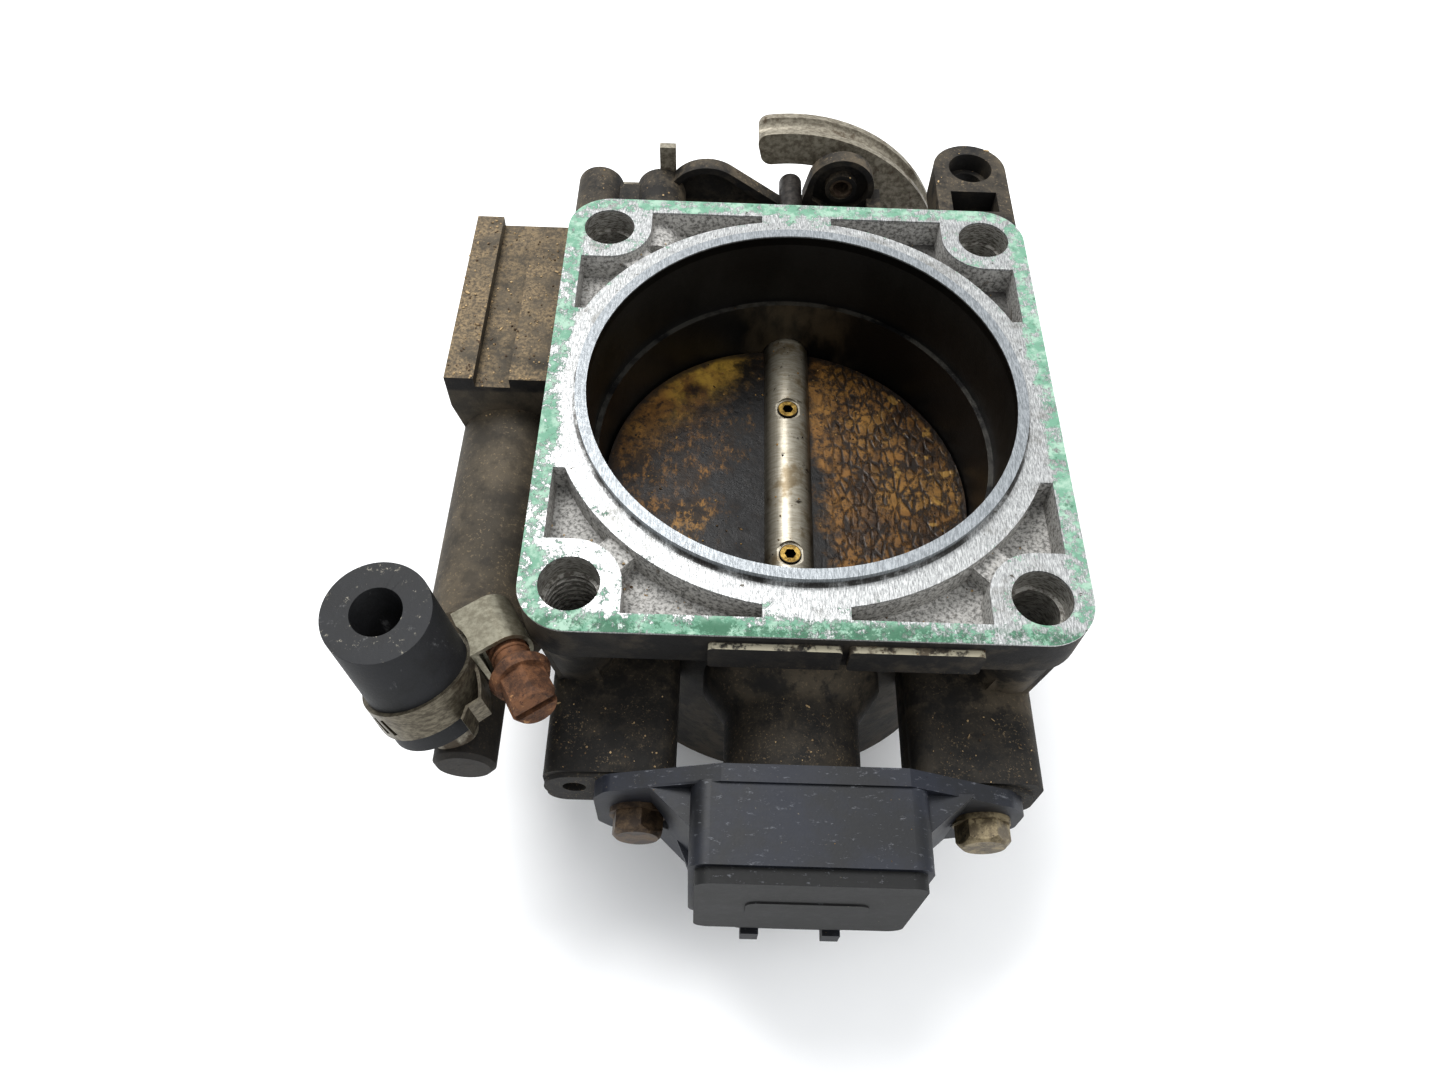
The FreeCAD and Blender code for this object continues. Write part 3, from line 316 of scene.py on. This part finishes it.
    # green gasket residue, thickest along the outer rim and the front
    rim = from_side.ramp(5.0 * MM, 2.6 * MM).most(from_end.ramp(4.6 * MM, 2.2 * MM))
    inner_ring = r.ramp(RING_R + 1 * MM, LIP_OUT_R + 0.5 * MM)
    patches = p.noise(95, 6, 0.75, seed=13) * 0.42 + p.noise(560, 6, 0.8, seed=14) * 0.58
    hold = patches + rim * 0.085 - inner_ring * 0.10 + y.ramp(-40 * MM, -50 * MM) * 0.02
    hold = hold - (x - y).ramp(40 * MM, 90 * MM) * 0.03
    flat = face * nz.ramp(0.7, 0.9) * z.ramp(0.6 * MM, 0.3 * MM)
    residue = hold.ramp(0.535, 0.585) * flat
    paper = p.mix(p.noise(300, 5, 0.7, seed=15).ramp(0.42, 0.6), rgb(106, 148, 126), rgb(152, 180, 162))
    paper = p.mix(p.noise(500, 5, 0.75, seed=16).ramp(0.56, 0.66) * 0.75, paper, rgb(58, 94, 74))
    front_edge = y.ramp(-46.2 * MM, -48.6 * MM) * p.noise(210, 7, 0.85, seed=17).ramp(0.46, 0.53)
    paper = p.mix(front_edge * 0.7, paper, rgb(58, 106, 80))
    skin = p.mix(residue, skin, paper)
    skin = p.mix(front_edge * flat * 0.6, skin, rgb(52, 92, 70))

    # sooty bore, with a painted sheen towards its top and a painted highlight along its step
    bore = r.ramp(RECESS_R + 0.5 * MM, RECESS_R + 0.1 * MM)
    bore = bore * z.ramp(LIP_TOP - 0.1 * MM, LIP_TOP - 0.5 * MM)
    cloud = p.noise(60, 6, 0.6, seed=18, stretch=(1, 1, 0.4))
    soot = p.mix(cloud.ramp(0.4, 0.66), rgb(9, 9, 9), rgb(30, 29, 28))
    # painted sheen: lighter towards the top of the bore
    soot = p.mix(z.ramp(STEP_Z + 8 * MM, LIP_TOP) * 0.15, soot, rgb(62, 62, 61))
    below = z.ramp(STEP_Z + 0.3 * MM, STEP_Z - 0.3 * MM)
    varnish = y.ramp(30 * MM, 36 * MM) * x.ramp(-16 * MM, -4 * MM) * x.ramp(20 * MM, 8 * MM)
    varnish = varnish * p.noise(75, 6, 0.6, seed=19, stretch=(1, 1, 0.5)).ramp(0.40, 0.56)
    soot = p.mix(below * varnish * 0.8, soot, rgb(84, 74, 58))
    # painted highlight: a thin bright line along the bore's step
    step_highlight = z.between(STEP_Z - 0.05 * MM, STEP_Z + 0.18 * MM, 0.1 * MM)
    soot = p.mix(step_highlight * p.noise(220, 4, seed=20).ramp(0.36, 0.60) * 0.55, soot, rgb(86, 84, 78))
    skin = p.mix(bore, skin, soot)

    metal = face * 0.5 * residue.flip() + holes * 0.3 + bore * 0.35
    dull = residue.most(face.flip() * bore.flip() * holes.flip())
    roughness = dull * 0.38 + medium * 0.18 + 0.28
    height = fine * 0.5 + medium * 0.7 * face.flip() * bore.flip() + residue * 0.9 + scratch * 0.12
    return p.finish(skin, roughness, height, metal, depth=0.22 * MM, strength=0.55)


def worn_metal(name, light, dark, stain, metallic, rough, cover=0.5, stretch=(1, 1, 1), seed=1, strength=0.35):
    """Metal with fine streaks, blotches and stains that cover more or less of it."""
    p = Paint(name)
    streak = p.noise(800, 5, 0.7, seed=seed, stretch=stretch)
    blotch = p.noise(170, 6, 0.65, seed=seed + 1)
    spot = p.noise(480, 5, 0.7, seed=seed + 2)
    colour = p.mix(streak.ramp(0.36, 0.64), dark, light)
    edge = 0.72 - 0.34 * cover
    stained = (blotch * 0.6 + spot * 0.4).ramp(edge - 0.05, edge + 0.05)
    colour = p.mix(stained * 0.9, colour, stain)
    roughness = stained * 0.35 + spot * 0.2 + rough
    height = streak * 0.4 + stained * 0.6 + spot * 0.3
    bare = stained.flip() * metallic
    return p.finish(colour, roughness, height, bare, depth=0.1 * MM, strength=strength)


def throttle_plate_paint():
    """Brass under baked oil: ochre and brown, black beside the shaft, cracked on the right."""
    p = Paint("plate_brass")
    x, y, _ = p.axes(p.place)
    speck = p.noise(620, 6, 0.75, seed=21)
    blot = p.noise(150, 7, 0.7, seed=22)
    wide = p.noise(48, 5, 0.6, seed=23, warp=0.6)
    fleck = p.noise(430, 7, 0.8, seed=27, stretch=(1.3, 0.6, 1))
    colour = p.mix(blot.ramp(0.38, 0.62), rgb(62, 42, 22), rgb(126, 90, 42))
    colour = p.mix(wide.ramp(0.5, 0.64) * 0.5, colour, rgb(156, 118, 58))
    colour = p.mix(speck.ramp(0.50, 0.60) * 0.85, colour, rgb(38, 26, 16))
    rearward = y - x * 0.8
    golden = rearward.ramp(30 * MM, 44 * MM) * x.ramp(-30 * MM, -20 * MM)
    golden = golden * p.noise(110, 5, seed=24).ramp(0.38, 0.56)
    colour = p.mix(golden * 0.9, colour, rgb(184, 150, 66))
    left_dark = x.ramp(2 * MM, -4 * MM) * fleck.ramp(0.40, 0.51) * rearward.ramp(44 * MM, 26 * MM)
    colour = p.mix(left_dark * 0.93, colour, rgb(20, 15, 12))
    # broken dark network over the right half
    crack = p.cells(420, seed=3, stretch=(1.4, 0.7, 1)).ramp(0.22, 0.05)
    crack = crack * x.ramp(4 * MM, 12 * MM) * fleck.ramp(0.40, 0.52)
    colour = p.mix(crack * 0.9, colour, rgb(32, 22, 14))
    colour = p.mix(x.ramp(6 * MM, 10 * MM) * fleck.ramp(0.53, 0.60) * 0.85, colour, rgb(28, 20, 14))
    lumps = p.noise(260, 3, 0.5, seed=28).ramp(0.60, 0.66) * x.ramp(18 * MM, 26 * MM)
    colour = p.mix(lumps * 0.7, colour, rgb(170, 134, 70))
    # oil black along the shaft, widest at the front left
    reach = x.abs() + (blot - 0.5) * (26 * MM) + y * 0.12 + x * 0.35
    black = reach.ramp(14 * MM, 7 * MM)
    colour = p.mix(black * 0.97, colour, rgb(12, 11, 11))
    edge = (x * x + y * y).root() + (blot - 0.5) * (5 * MM)
    colour = p.mix(edge.ramp(35.2 * MM, 36.8 * MM) * 0.85, colour, rgb(26, 19, 14))
    wet = blot.ramp(0.62, 0.40)
    roughness = wet * -0.22 + speck * 0.2 + 0.5
    height = speck * 0.7 + blot * 0.5 - crack * 0.5
    return p.finish(colour, roughness, height, 0.15, depth=0.25 * MM, strength=0.7)


def shaft_steel():
    """Bright steel with light oil stains, and painted shade low on its sides."""
    p = Paint("shaft_steel")
    _, _, z = p.axes(p.place)
    turned = p.noise(420, 5, 0.7, seed=31, stretch=(1, 5, 1))
    stain = p.noise(120, 6, 0.65, seed=32)
    colour = p.mix(turned.ramp(0.30, 0.70), rgb(146, 139, 124), rgb(178, 172, 158))
    colour = p.mix(stain.ramp(0.50, 0.64) * 0.75, colour, rgb(112, 96, 68))
    colour = p.mix(p.noise(380, 6, 0.7, seed=33).ramp(0.60, 0.68) * 0.9, colour, rgb(44, 36, 26))
    # painted shade: darker low on the shaft's sides, where it turns from the light
    low = z.ramp(SHAFT_Z + 4.4 * MM, SHAFT_Z + 2.4 * MM)
    colour = p.mix(low * 0.7, colour, rgb(40, 36, 30))
    roughness = stain * 0.3 + 0.22
    return p.finish(colour, roughness, turned * 0.3 + stain * 0.5, 0.6, depth=0.04 * MM, strength=0.25)


def plastic(name, base, pale, scuff, seed, rough=0.36):
    """Moulded plastic with a fine grain, rubbed edges and dusty tops."""
    p = Paint(name)
    _, _, nz = p.axes(p.normal)
    grain = p.noise(2200, 3, 0.6, seed=seed)
    cloud = p.noise(85, 6, 0.65, seed=seed + 1)
    rub = p.noise(520, 6, 0.75, seed=seed + 2, stretch=(1, 2.4, 1))
    colour = p.mix(cloud.ramp(0.36, 0.64), base, pale)
    colour = p.mix(rub.ramp(0.58, 0.68) * nz.ramp(-0.2, 0.7) * scuff, colour, rgb(138, 140, 146))
    dust = p.noise(1500, 3, 0.6, seed=seed + 3).ramp(0.68, 0.75)
    colour = p.mix(dust * cloud.ramp(0.4, 0.6) * 0.6, colour, rgb(120, 110, 92))
    roughness = cloud * 0.2 + rub * 0.15 + rough
    return p.finish(colour, roughness, grain * 0.5 + rub * 0.5, 0.0, depth=0.08 * MM, strength=0.4)


def rubber(name, base, pale, seed):
    """Charcoal rubber with chalky scuffs, and pale chips on faces cut across."""
    p = Paint(name)
    _, _, nz = p.axes(p.normal)
    grain = p.noise(1500, 5, 0.7, seed=seed)
    cloud = p.noise(110, 6, 0.7, seed=seed + 1)
    scrape = p.noise(420, 6, 0.75, seed=seed + 2, stretch=(1, 1, 0.35))
    colour = p.mix(cloud.ramp(0.38, 0.62), base, pale)
    colour = p.mix(scrape.ramp(0.60, 0.72) * 0.55, colour, rgb(112, 112, 112))
    chips = p.noise(520, 6, 0.8, seed=seed + 3).ramp(0.60, 0.67) * nz.ramp(0.7, 0.9)
    colour = p.mix(chips * 0.85, colour, rgb(150, 144, 130))
    roughness = cloud * 0.2 + 0.52
    return p.finish(colour, roughness, grain * 0.7 + scrape * 0.6, 0.0, depth=0.15 * MM, strength=0.55)


def sensor_fasteners():
    """Two hexagon screws: the left one dark with rust, the right one yellow-brown."""
    p = Paint("steel_fastener")
    x, _, _ = p.axes(p.place)
    blot = p.noise(420, 6, 0.7, seed=41)
    pit = p.noise(1200, 4, 0.7, seed=42)
    left = p.mix(blot.ramp(0.4, 0.62), rgb(52, 42, 34), rgb(92, 76, 58))
    right = p.mix(blot.ramp(0.4, 0.62), rgb(84, 74, 56), rgb(138, 126, 100))
    colour = p.mix(x.ramp(-4 * MM, 4 * MM), left, right)
    colour = p.mix(pit.ramp(0.58, 0.68) * 0.8, colour, rgb(40, 28, 20))
    return p.finish(colour, blot * 0.3 + 0.35, pit * 0.7 + blot * 0.6, 0.45, depth=0.12 * MM)


def socket_brass():
    """Brass socket screws with painted shade inside the socket and a dark joint round the head."""
    p = Paint("socket_brass")
    x, y, z = p.axes(p.place)
    grain = p.noise(900, 5, 0.7, seed=45)
    colour = p.mix(grain.ramp(0.38, 0.62), rgb(104, 82, 38), rgb(168, 140, 76))
    away = y.abs() - PLATE_SCREW_Y
    dist = (x * x + away * away).root()
    # painted shade inside the socket recess
    deep_shade = z.ramp(PLATE_SCREW_TOP - 0.15 * MM, PLATE_SCREW_TOP - 0.4 * MM)
    colour = p.mix(dist.ramp(1.3 * MM, 1.15 * MM) * deep_shade, colour, rgb(20, 15, 8))
    colour = p.mix(dist.ramp(1.85 * MM, 2.05 * MM), colour, rgb(30, 24, 16))
    return p.finish(colour, grain * 0.3 + 0.2, grain, 0.7, strength=0.3)


def rust(name, seed):
    p = Paint(name)
    blot = p.noise(330, 7, 0.75, seed=seed)
    flake = p.noise(1100, 5, 0.75, seed=seed + 1)
    colour = p.mix(blot.ramp(0.36, 0.64), rgb(62, 40, 26), rgb(116, 80, 54))
    colour = p.mix(flake.ramp(0.56, 0.66) * 0.8, colour, rgb(44, 24, 18))
    colour = p.mix(p.noise(700, 4, seed=seed + 2).ramp(0.64, 0.72) * 0.7, colour, rgb(164, 126, 86))
    return p.finish(colour, blot * 0.2 + 0.6, flake * 0.8 + blot * 0.8, 0.1, depth=0.3 * MM, strength=0.8)


def floor_paint():
    p = Paint("pale_floor")
    soft = p.noise(9, 5, 0.6, seed=51)
    fine = p.noise(700, 3, 0.6, seed=52)
    colour = p.mix(soft.ramp(0.3, 0.7), rgb(246, 246, 246), rgb(252, 252, 252))
    return p.finish(colour, soft * 0.1 + 0.6, fine, 0.0, depth=0.02 * MM, strength=0.15)


PAINTS = {
    "cast_aluminium": cast_aluminium(),
    "steel_bright": worn_metal("steel_bright", rgb(176, 172, 160), rgb(120, 114, 100), rgb(72, 58, 42),
                               0.7, 0.25, 0.45, seed=61),
    "plate_brass": throttle_plate_paint(),
    "brass": worn_metal("brass", rgb(214, 184, 110), rgb(160, 128, 62), rgb(64, 46, 24),
                        0.7, 0.22, 0.4, seed=64),
    "bronze": worn_metal("bronze", rgb(170, 128, 76), rgb(120, 86, 48), rgb(50, 36, 24),
                         0.7, 0.3, 0.4, seed=67),
    "seal_rubber": rubber("seal_rubber", rgb(34, 34, 34), rgb(52, 52, 52), 70),
    "sensor_plastic": plastic("sensor_plastic", rgb(7, 9, 14), rgb(22, 26, 37), 0.3, 74),
    "lid_plastic": plastic("lid_plastic", rgb(7, 7, 8), rgb(18, 18, 17), 0.35, 78, 0.5),
    "board": plastic("board", rgb(74, 84, 60), rgb(100, 108, 82), 0.2, 82),
    "contact_metal": worn_metal("contact_metal", rgb(216, 196, 140), rgb(176, 150, 92), rgb(110, 90, 50),
                                0.8, 0.2, 0.3, seed=86),
    "steel_fastener": sensor_fasteners(),
    "steel_zinc": worn_metal("steel_zinc", rgb(152, 146, 132), rgb(104, 98, 86), rgb(66, 56, 44),
                             0.45, 0.38, 0.5, seed=90),
    "spring_steel": worn_metal("spring_steel", rgb(92, 90, 86), rgb(58, 56, 52), rgb(46, 34, 26),
                               0.6, 0.35, 0.4, seed=94),
    "steel_rusty": rust("steel_rusty", 98),
    "hose_rubber": rubber("hose_rubber", rgb(9, 10, 12), rgb(25, 26, 29), 102),
}
CLAMP_PAINT = worn_metal("clamp_steel", rgb(150, 146, 130), rgb(122, 117, 102), rgb(70, 58, 44),
                         0.7, 0.24, 0.15, seed=106)
BAND_PAINT = worn_metal("band_steel", rgb(112, 106, 92), rgb(76, 70, 60), rgb(40, 35, 29),
                        0.6, 0.26, 0.4, stretch=(1, 1, 3), seed=118)
QUADRANT_PAINT = worn_metal("quadrant_steel", rgb(150, 144, 130), rgb(106, 99, 86), rgb(74, 60, 44),
                            0.35, 0.4, 0.42, stretch=(1, 3, 1), seed=110)
PIN_PAINT = worn_metal("pin_steel", rgb(120, 108, 92), rgb(78, 66, 54), rgb(56, 38, 26),
                       0.5, 0.35, 0.6, seed=114)
DARK_PIN_PAINT = worn_metal("dark_pin_steel", rgb(62, 58, 54), rgb(36, 33, 31), rgb(26, 21, 17),
                            0.5, 0.35, 0.5, seed=122)
SPECIAL = {
    "plate_screws": socket_brass(),
    "throttle_shaft": shaft_steel(),
    "clamp_band": BAND_PAINT,
    "clamp_housing": CLAMP_PAINT,
    "cable_quadrant": QUADRANT_PAINT,
    "anchor_pin": PIN_PAINT,
    "stop_pin": DARK_PIN_PAINT,
}


def dress(piece, material):
    if not piece.data.materials:
        piece.data.materials.append(material)
    for slot in piece.material_slots:
        slot.material = material


def soften(piece, width):
    """Rounds a CAD piece's sharp edges a little."""
    weld = piece.modifiers.new("weld", "WELD")
    weld.merge_threshold = 0.002 * MM
    bevel = piece.modifiers.new("bevel", "BEVEL")
    bevel.limit_method = "ANGLE"
    bevel.angle_limit = math.radians(38)
    bevel.width = width
    bevel.segments = 2
    split = piece.modifiers.new("split", "EDGE_SPLIT")
    split.split_angle = math.radians(42)
    normal = piece.modifiers.new("normal", "WEIGHTED_NORMAL")
    normal.keep_sharp = True


SOFT_EDGES = {
    "housing_casting": 0.35,
    "sensor_case": 0.3,
    "sensor_lid": 0.3,
    "cable_quadrant": 0.3,
    "coolant_hose": 0.35,
    "clamp_housing": 0.15,
    "clamp_screw": 0.2,
    "sensor_screws": 0.2,
    "stop_lever": 0.3,
    "rear_bracket": 0.2,
    "quadrant_nut": 0.25,
    "anchor_pin": 0.15,
    "throttle_shaft": 0.15,
}
for name, node in NODES.items():
    dress(node, SPECIAL.get(name, PAINTS[SLOT_OF[name]]))
    if name in SOFT_EDGES:
        soften(node, SOFT_EDGES[name] * MM)


# ---- pieces made here ----

def mesh_from_path(name, points, radius):
    """Round wire through a row of points."""
    curve = bpy.data.curves.new(name, "CURVE")
    curve.dimensions = "3D"
    curve.bevel_depth = radius
    curve.bevel_resolution = 4
    curve.use_fill_caps = True
    spline = curve.splines.new("NURBS")
    spline.points.add(len(points) - 1)
    for target, point in zip(spline.points, points):
        target.co = (*point, 1.0)
    spline.order_u = 3
    spline.use_endpoint_u = True
    holder = bpy.data.objects.new(name + "_path", curve)
    bpy.context.scene.collection.objects.link(holder)
    mesh = bpy.data.meshes.new_from_object(holder.evaluated_get(bpy.context.evaluated_depsgraph_get()))
    bpy.data.objects.remove(holder)
    mesh.name = name
    piece = bpy.data.objects.new(name, mesh)
    bpy.context.scene.collection.objects.link(piece)
    for face in mesh.polygons:
        face.use_smooth = True
    return piece


SPRING_WIRE_R = {"inner_return_spring": 0.65 * MM, "outer_return_spring": 0.8 * MM}


def return_spring(name, node, start_deg, turns):
    """Torsion spring with a hooked leg at each end."""
    low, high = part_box(node)
    outer = (high.x - low.x) / 2
    wire = SPRING_WIRE_R[node]
    mean = outer - wire
    y0 = low.y + wire
    y1 = high.y - wire
    steps = int(turns * 24)

    def at(radius, deg, y):
        angle = math.radians(deg)
        return Vector((radius * math.cos(angle), y, SHAFT_Z + radius * math.sin(angle)))

    end_deg = start_deg + 360 * turns
    points = [at(mean + 2.2 * MM, start_deg - 24, y0 - 4.2 * MM)]
    points.append(at(mean + 2.2 * MM, start_deg - 22, y0 - 1.2 * MM))
    points += [at(mean + 2.0 * MM, start_deg - 20, y0), at(mean + 0.6 * MM, start_deg - 8, y0)]
    for i in range(steps + 1):
        t = i / steps
        points.append(at(mean, start_deg + (end_deg - start_deg) * t, y0 + (y1 - y0) * t))
    points += [at(mean + 0.8 * MM, end_deg + 9, y1), at(mean + 2.2 * MM, end_deg + 18, y1)]
    points.append(at(mean + 2.6 * MM, end_deg + 20, y1 + 0.7 * MM))
    piece = mesh_from_path(name, points, wire)
    dress(piece, PAINTS["spring_steel"])
    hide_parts(node)
    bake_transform(piece)
    return piece


return_spring("inner_spring_wire", "inner_return_spring", 262, 3.35)
return_spring("outer_spring_wire", "outer_return_spring", 286, 3.15)


def surface(names):
    """Ray target made of several CAD nodes."""
    verts = []
    faces = []
    for name in names:
        mesh = NODES[name].data
        offset = len(verts)
        verts += [v.co.copy() for v in mesh.vertices]
        faces += [[offset + i for i in face.vertices] for face in mesh.polygons]
    return BVHTree.FromPolygons(verts, faces)


def add_crumb(bm, rng, spot, normal, size, length):
    """Small jagged grain lying on a surface."""
    start = len(bm.verts)
    bmesh.ops.create_icosphere(bm, subdivisions=1, radius=size)
    bm.verts.ensure_lookup_table()
    turn = Matrix.Rotation(rng.uniform(0, math.tau), 4, "Z")
    frame_up = normal.to_track_quat("Z", "Y").to_matrix().to_4x4()
    flat = Matrix.Diagonal((length, rng.uniform(0.7, 1.1), rng.uniform(0.45, 0.75), 1.0))
    place = Matrix.Translation(spot + normal * size * 0.3) @ frame_up @ turn @ flat
    for vert in bm.verts[start:]:
        vert.co *= rng.uniform(0.72, 1.18)
        vert.co = place @ vert.co


def grit(name, body, target, zones, seed, material):
    """Loose dirt on the upward faces of a body; each zone is (x0, x1, y0, y1, count, largest grain)."""
    rng = random.Random(seed)
    bm = bmesh.new()
    for x0, x1, y0, y1, count, largest in zones:
        for _ in range(count):
            start = Vector((rng.uniform(x0, x1), rng.uniform(y0, y1), HOUSING_HIGH.z + 20 * MM))
            size = largest * rng.uniform(0.25, 1.0) ** 2
            length = 1.0 if rng.random() < 0.93 else rng.uniform(1.8, 3.6)
            spot, normal, _, _ = target.ray_cast(start, Vector((0, 0, -1)))
            if spot is None or normal.z < 0.75 or spot.z > -0.5 * MM:
                continue
            add_crumb(bm, rng, spot, normal, size, length)
    mesh = bpy.data.meshes.new(name)
    bm.to_mesh(mesh)
    bm.free()
    piece = bpy.data.objects.new(name, mesh)
    bpy.context.scene.collection.objects.link(piece)
    dress(piece, material)
    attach(piece, body)
    return piece


def grit_paint(name, dark, pale, seed):
    p = Paint(name)
    grain = p.noise(1500, 3, 0.6, seed=seed)
    lump = p.noise(420, 3, 0.6, seed=seed + 1)
    colour = p.mix(lump.ramp(0.42, 0.58), dark, pale)
    return p.finish(colour, grain * 0.2 + 0.7, grain, 0.0, depth=0.05 * MM)


SAND = grit_paint("sandy_dirt", rgb(70, 54, 38), rgb(172, 148, 112), 121)
CHAR = grit_paint("oily_dirt", rgb(26, 20, 16), rgb(142, 112, 66), 124)

casting_zones = [
    (HOUSING_LOW.x, GALLERY_EDGE_X, 4 * MM, 50 * MM, 420, 0.34 * MM),
    (-FLANGE_HALF_X, FLANGE_HALF_X, -FLANGE_HALF_Y, -26 * MM, 300, 0.3 * MM),
    (-FLANGE_HALF_X, FLANGE_HALF_X, 26 * MM, FLANGE_HALF_Y, 180, 0.26 * MM),
    (-FLANGE_HALF_X, FLANGE_HALF_X, HOUSING_LOW.y, -FLANGE_HALF_Y, 260, 0.26 * MM),
    (-FLANGE_HALF_X, FLANGE_HALF_X, FLANGE_HALF_Y, HOUSING_HIGH.y, 200, 0.28 * MM),
]
grit("casting_grit", "housing", surface(["housing_casting"]), casting_zones, 7, SAND)
plate_zones = [(PLATE_LOW.x, PLATE_HIGH.x, PLATE_LOW.y, PLATE_HIGH.y, 420, 0.3 * MM)]
grit("plate_grit", "shaft", surface(["throttle_plate", "throttle_shaft"]), plate_zones, 11, CHAR)
case_zones = [(CASE_LOW.x, CASE_HIGH.x, CASE_LOW.y, CASE_HIGH.y, 40, 0.12 * MM)]
grit("case_grit", "housing", surface(["sensor_case"]), case_zones, 13, CHAR)


# ---- floor, light and camera ----

FLOOR_Z = cad_box[0][2]
bpy.ops.mesh.primitive_grid_add(x_subdivisions=8, y_subdivisions=8, size=6.0, location=(0, 0, FLOOR_Z))
floor = bpy.context.object
floor.name = "floor"
dress(floor, floor_paint())

world = bpy.data.worlds.new("studio")
bpy.context.scene.world = world
world.use_nodes = True
background = world.node_tree.nodes["Background"]
background.inputs["Color"].default_value = (0.96, 0.98, 1.0, 1.0)
background.inputs["Strength"].default_value = 0.8


def soft_light(name, spot, size, power, target=(0, 0, -0.02)):
    lamp = bpy.data.lights.new(name, "AREA")
    lamp.shape = "DISK"
    lamp.size = size
    lamp.energy = power
    holder = bpy.data.objects.new(name, lamp)
    bpy.context.scene.collection.objects.link(holder)
    holder.location = spot
    holder.rotation_euler = (Vector(target) - Vector(spot)).to_track_quat("-Z", "Y").to_euler()


soft_light("key_light", (-0.25, 0.35, 0.85), 0.5, 7.0)
soft_light("fill_light", (0.5, -0.2, 0.7), 0.8, 2.0)

CAMERA_SPOT = Vector((-15.6, -124.3, 143.6)) * MM
PITCH, YAW, ROLL = (math.radians(a) for a in (57.41, 1.04, 2.69))
forward = Vector((math.sin(YAW) * math.cos(PITCH), math.cos(YAW) * math.cos(PITCH), -math.sin(PITCH)))
level = Vector((math.cos(YAW), -math.sin(YAW), 0))
rise = level.cross(forward)
side = math.cos(ROLL) * level + math.sin(ROLL) * rise
top = -math.sin(ROLL) * level + math.cos(ROLL) * rise
lens = bpy.data.cameras.new("camera")
lens.sensor_width = 36.0
lens.lens = 26.07
lens.clip_start = 0.01
camera = bpy.data.objects.new("camera", lens)
bpy.context.scene.collection.objects.link(camera)
pose = Matrix((side, top, -forward)).transposed().to_4x4()
pose.translation = CAMERA_SPOT
camera.matrix_world = pose
bpy.context.scene.camera = camera
bpy.context.scene.view_settings.view_transform = "Standard"
bpy.context.scene.view_settings.look = "Medium High Contrast"
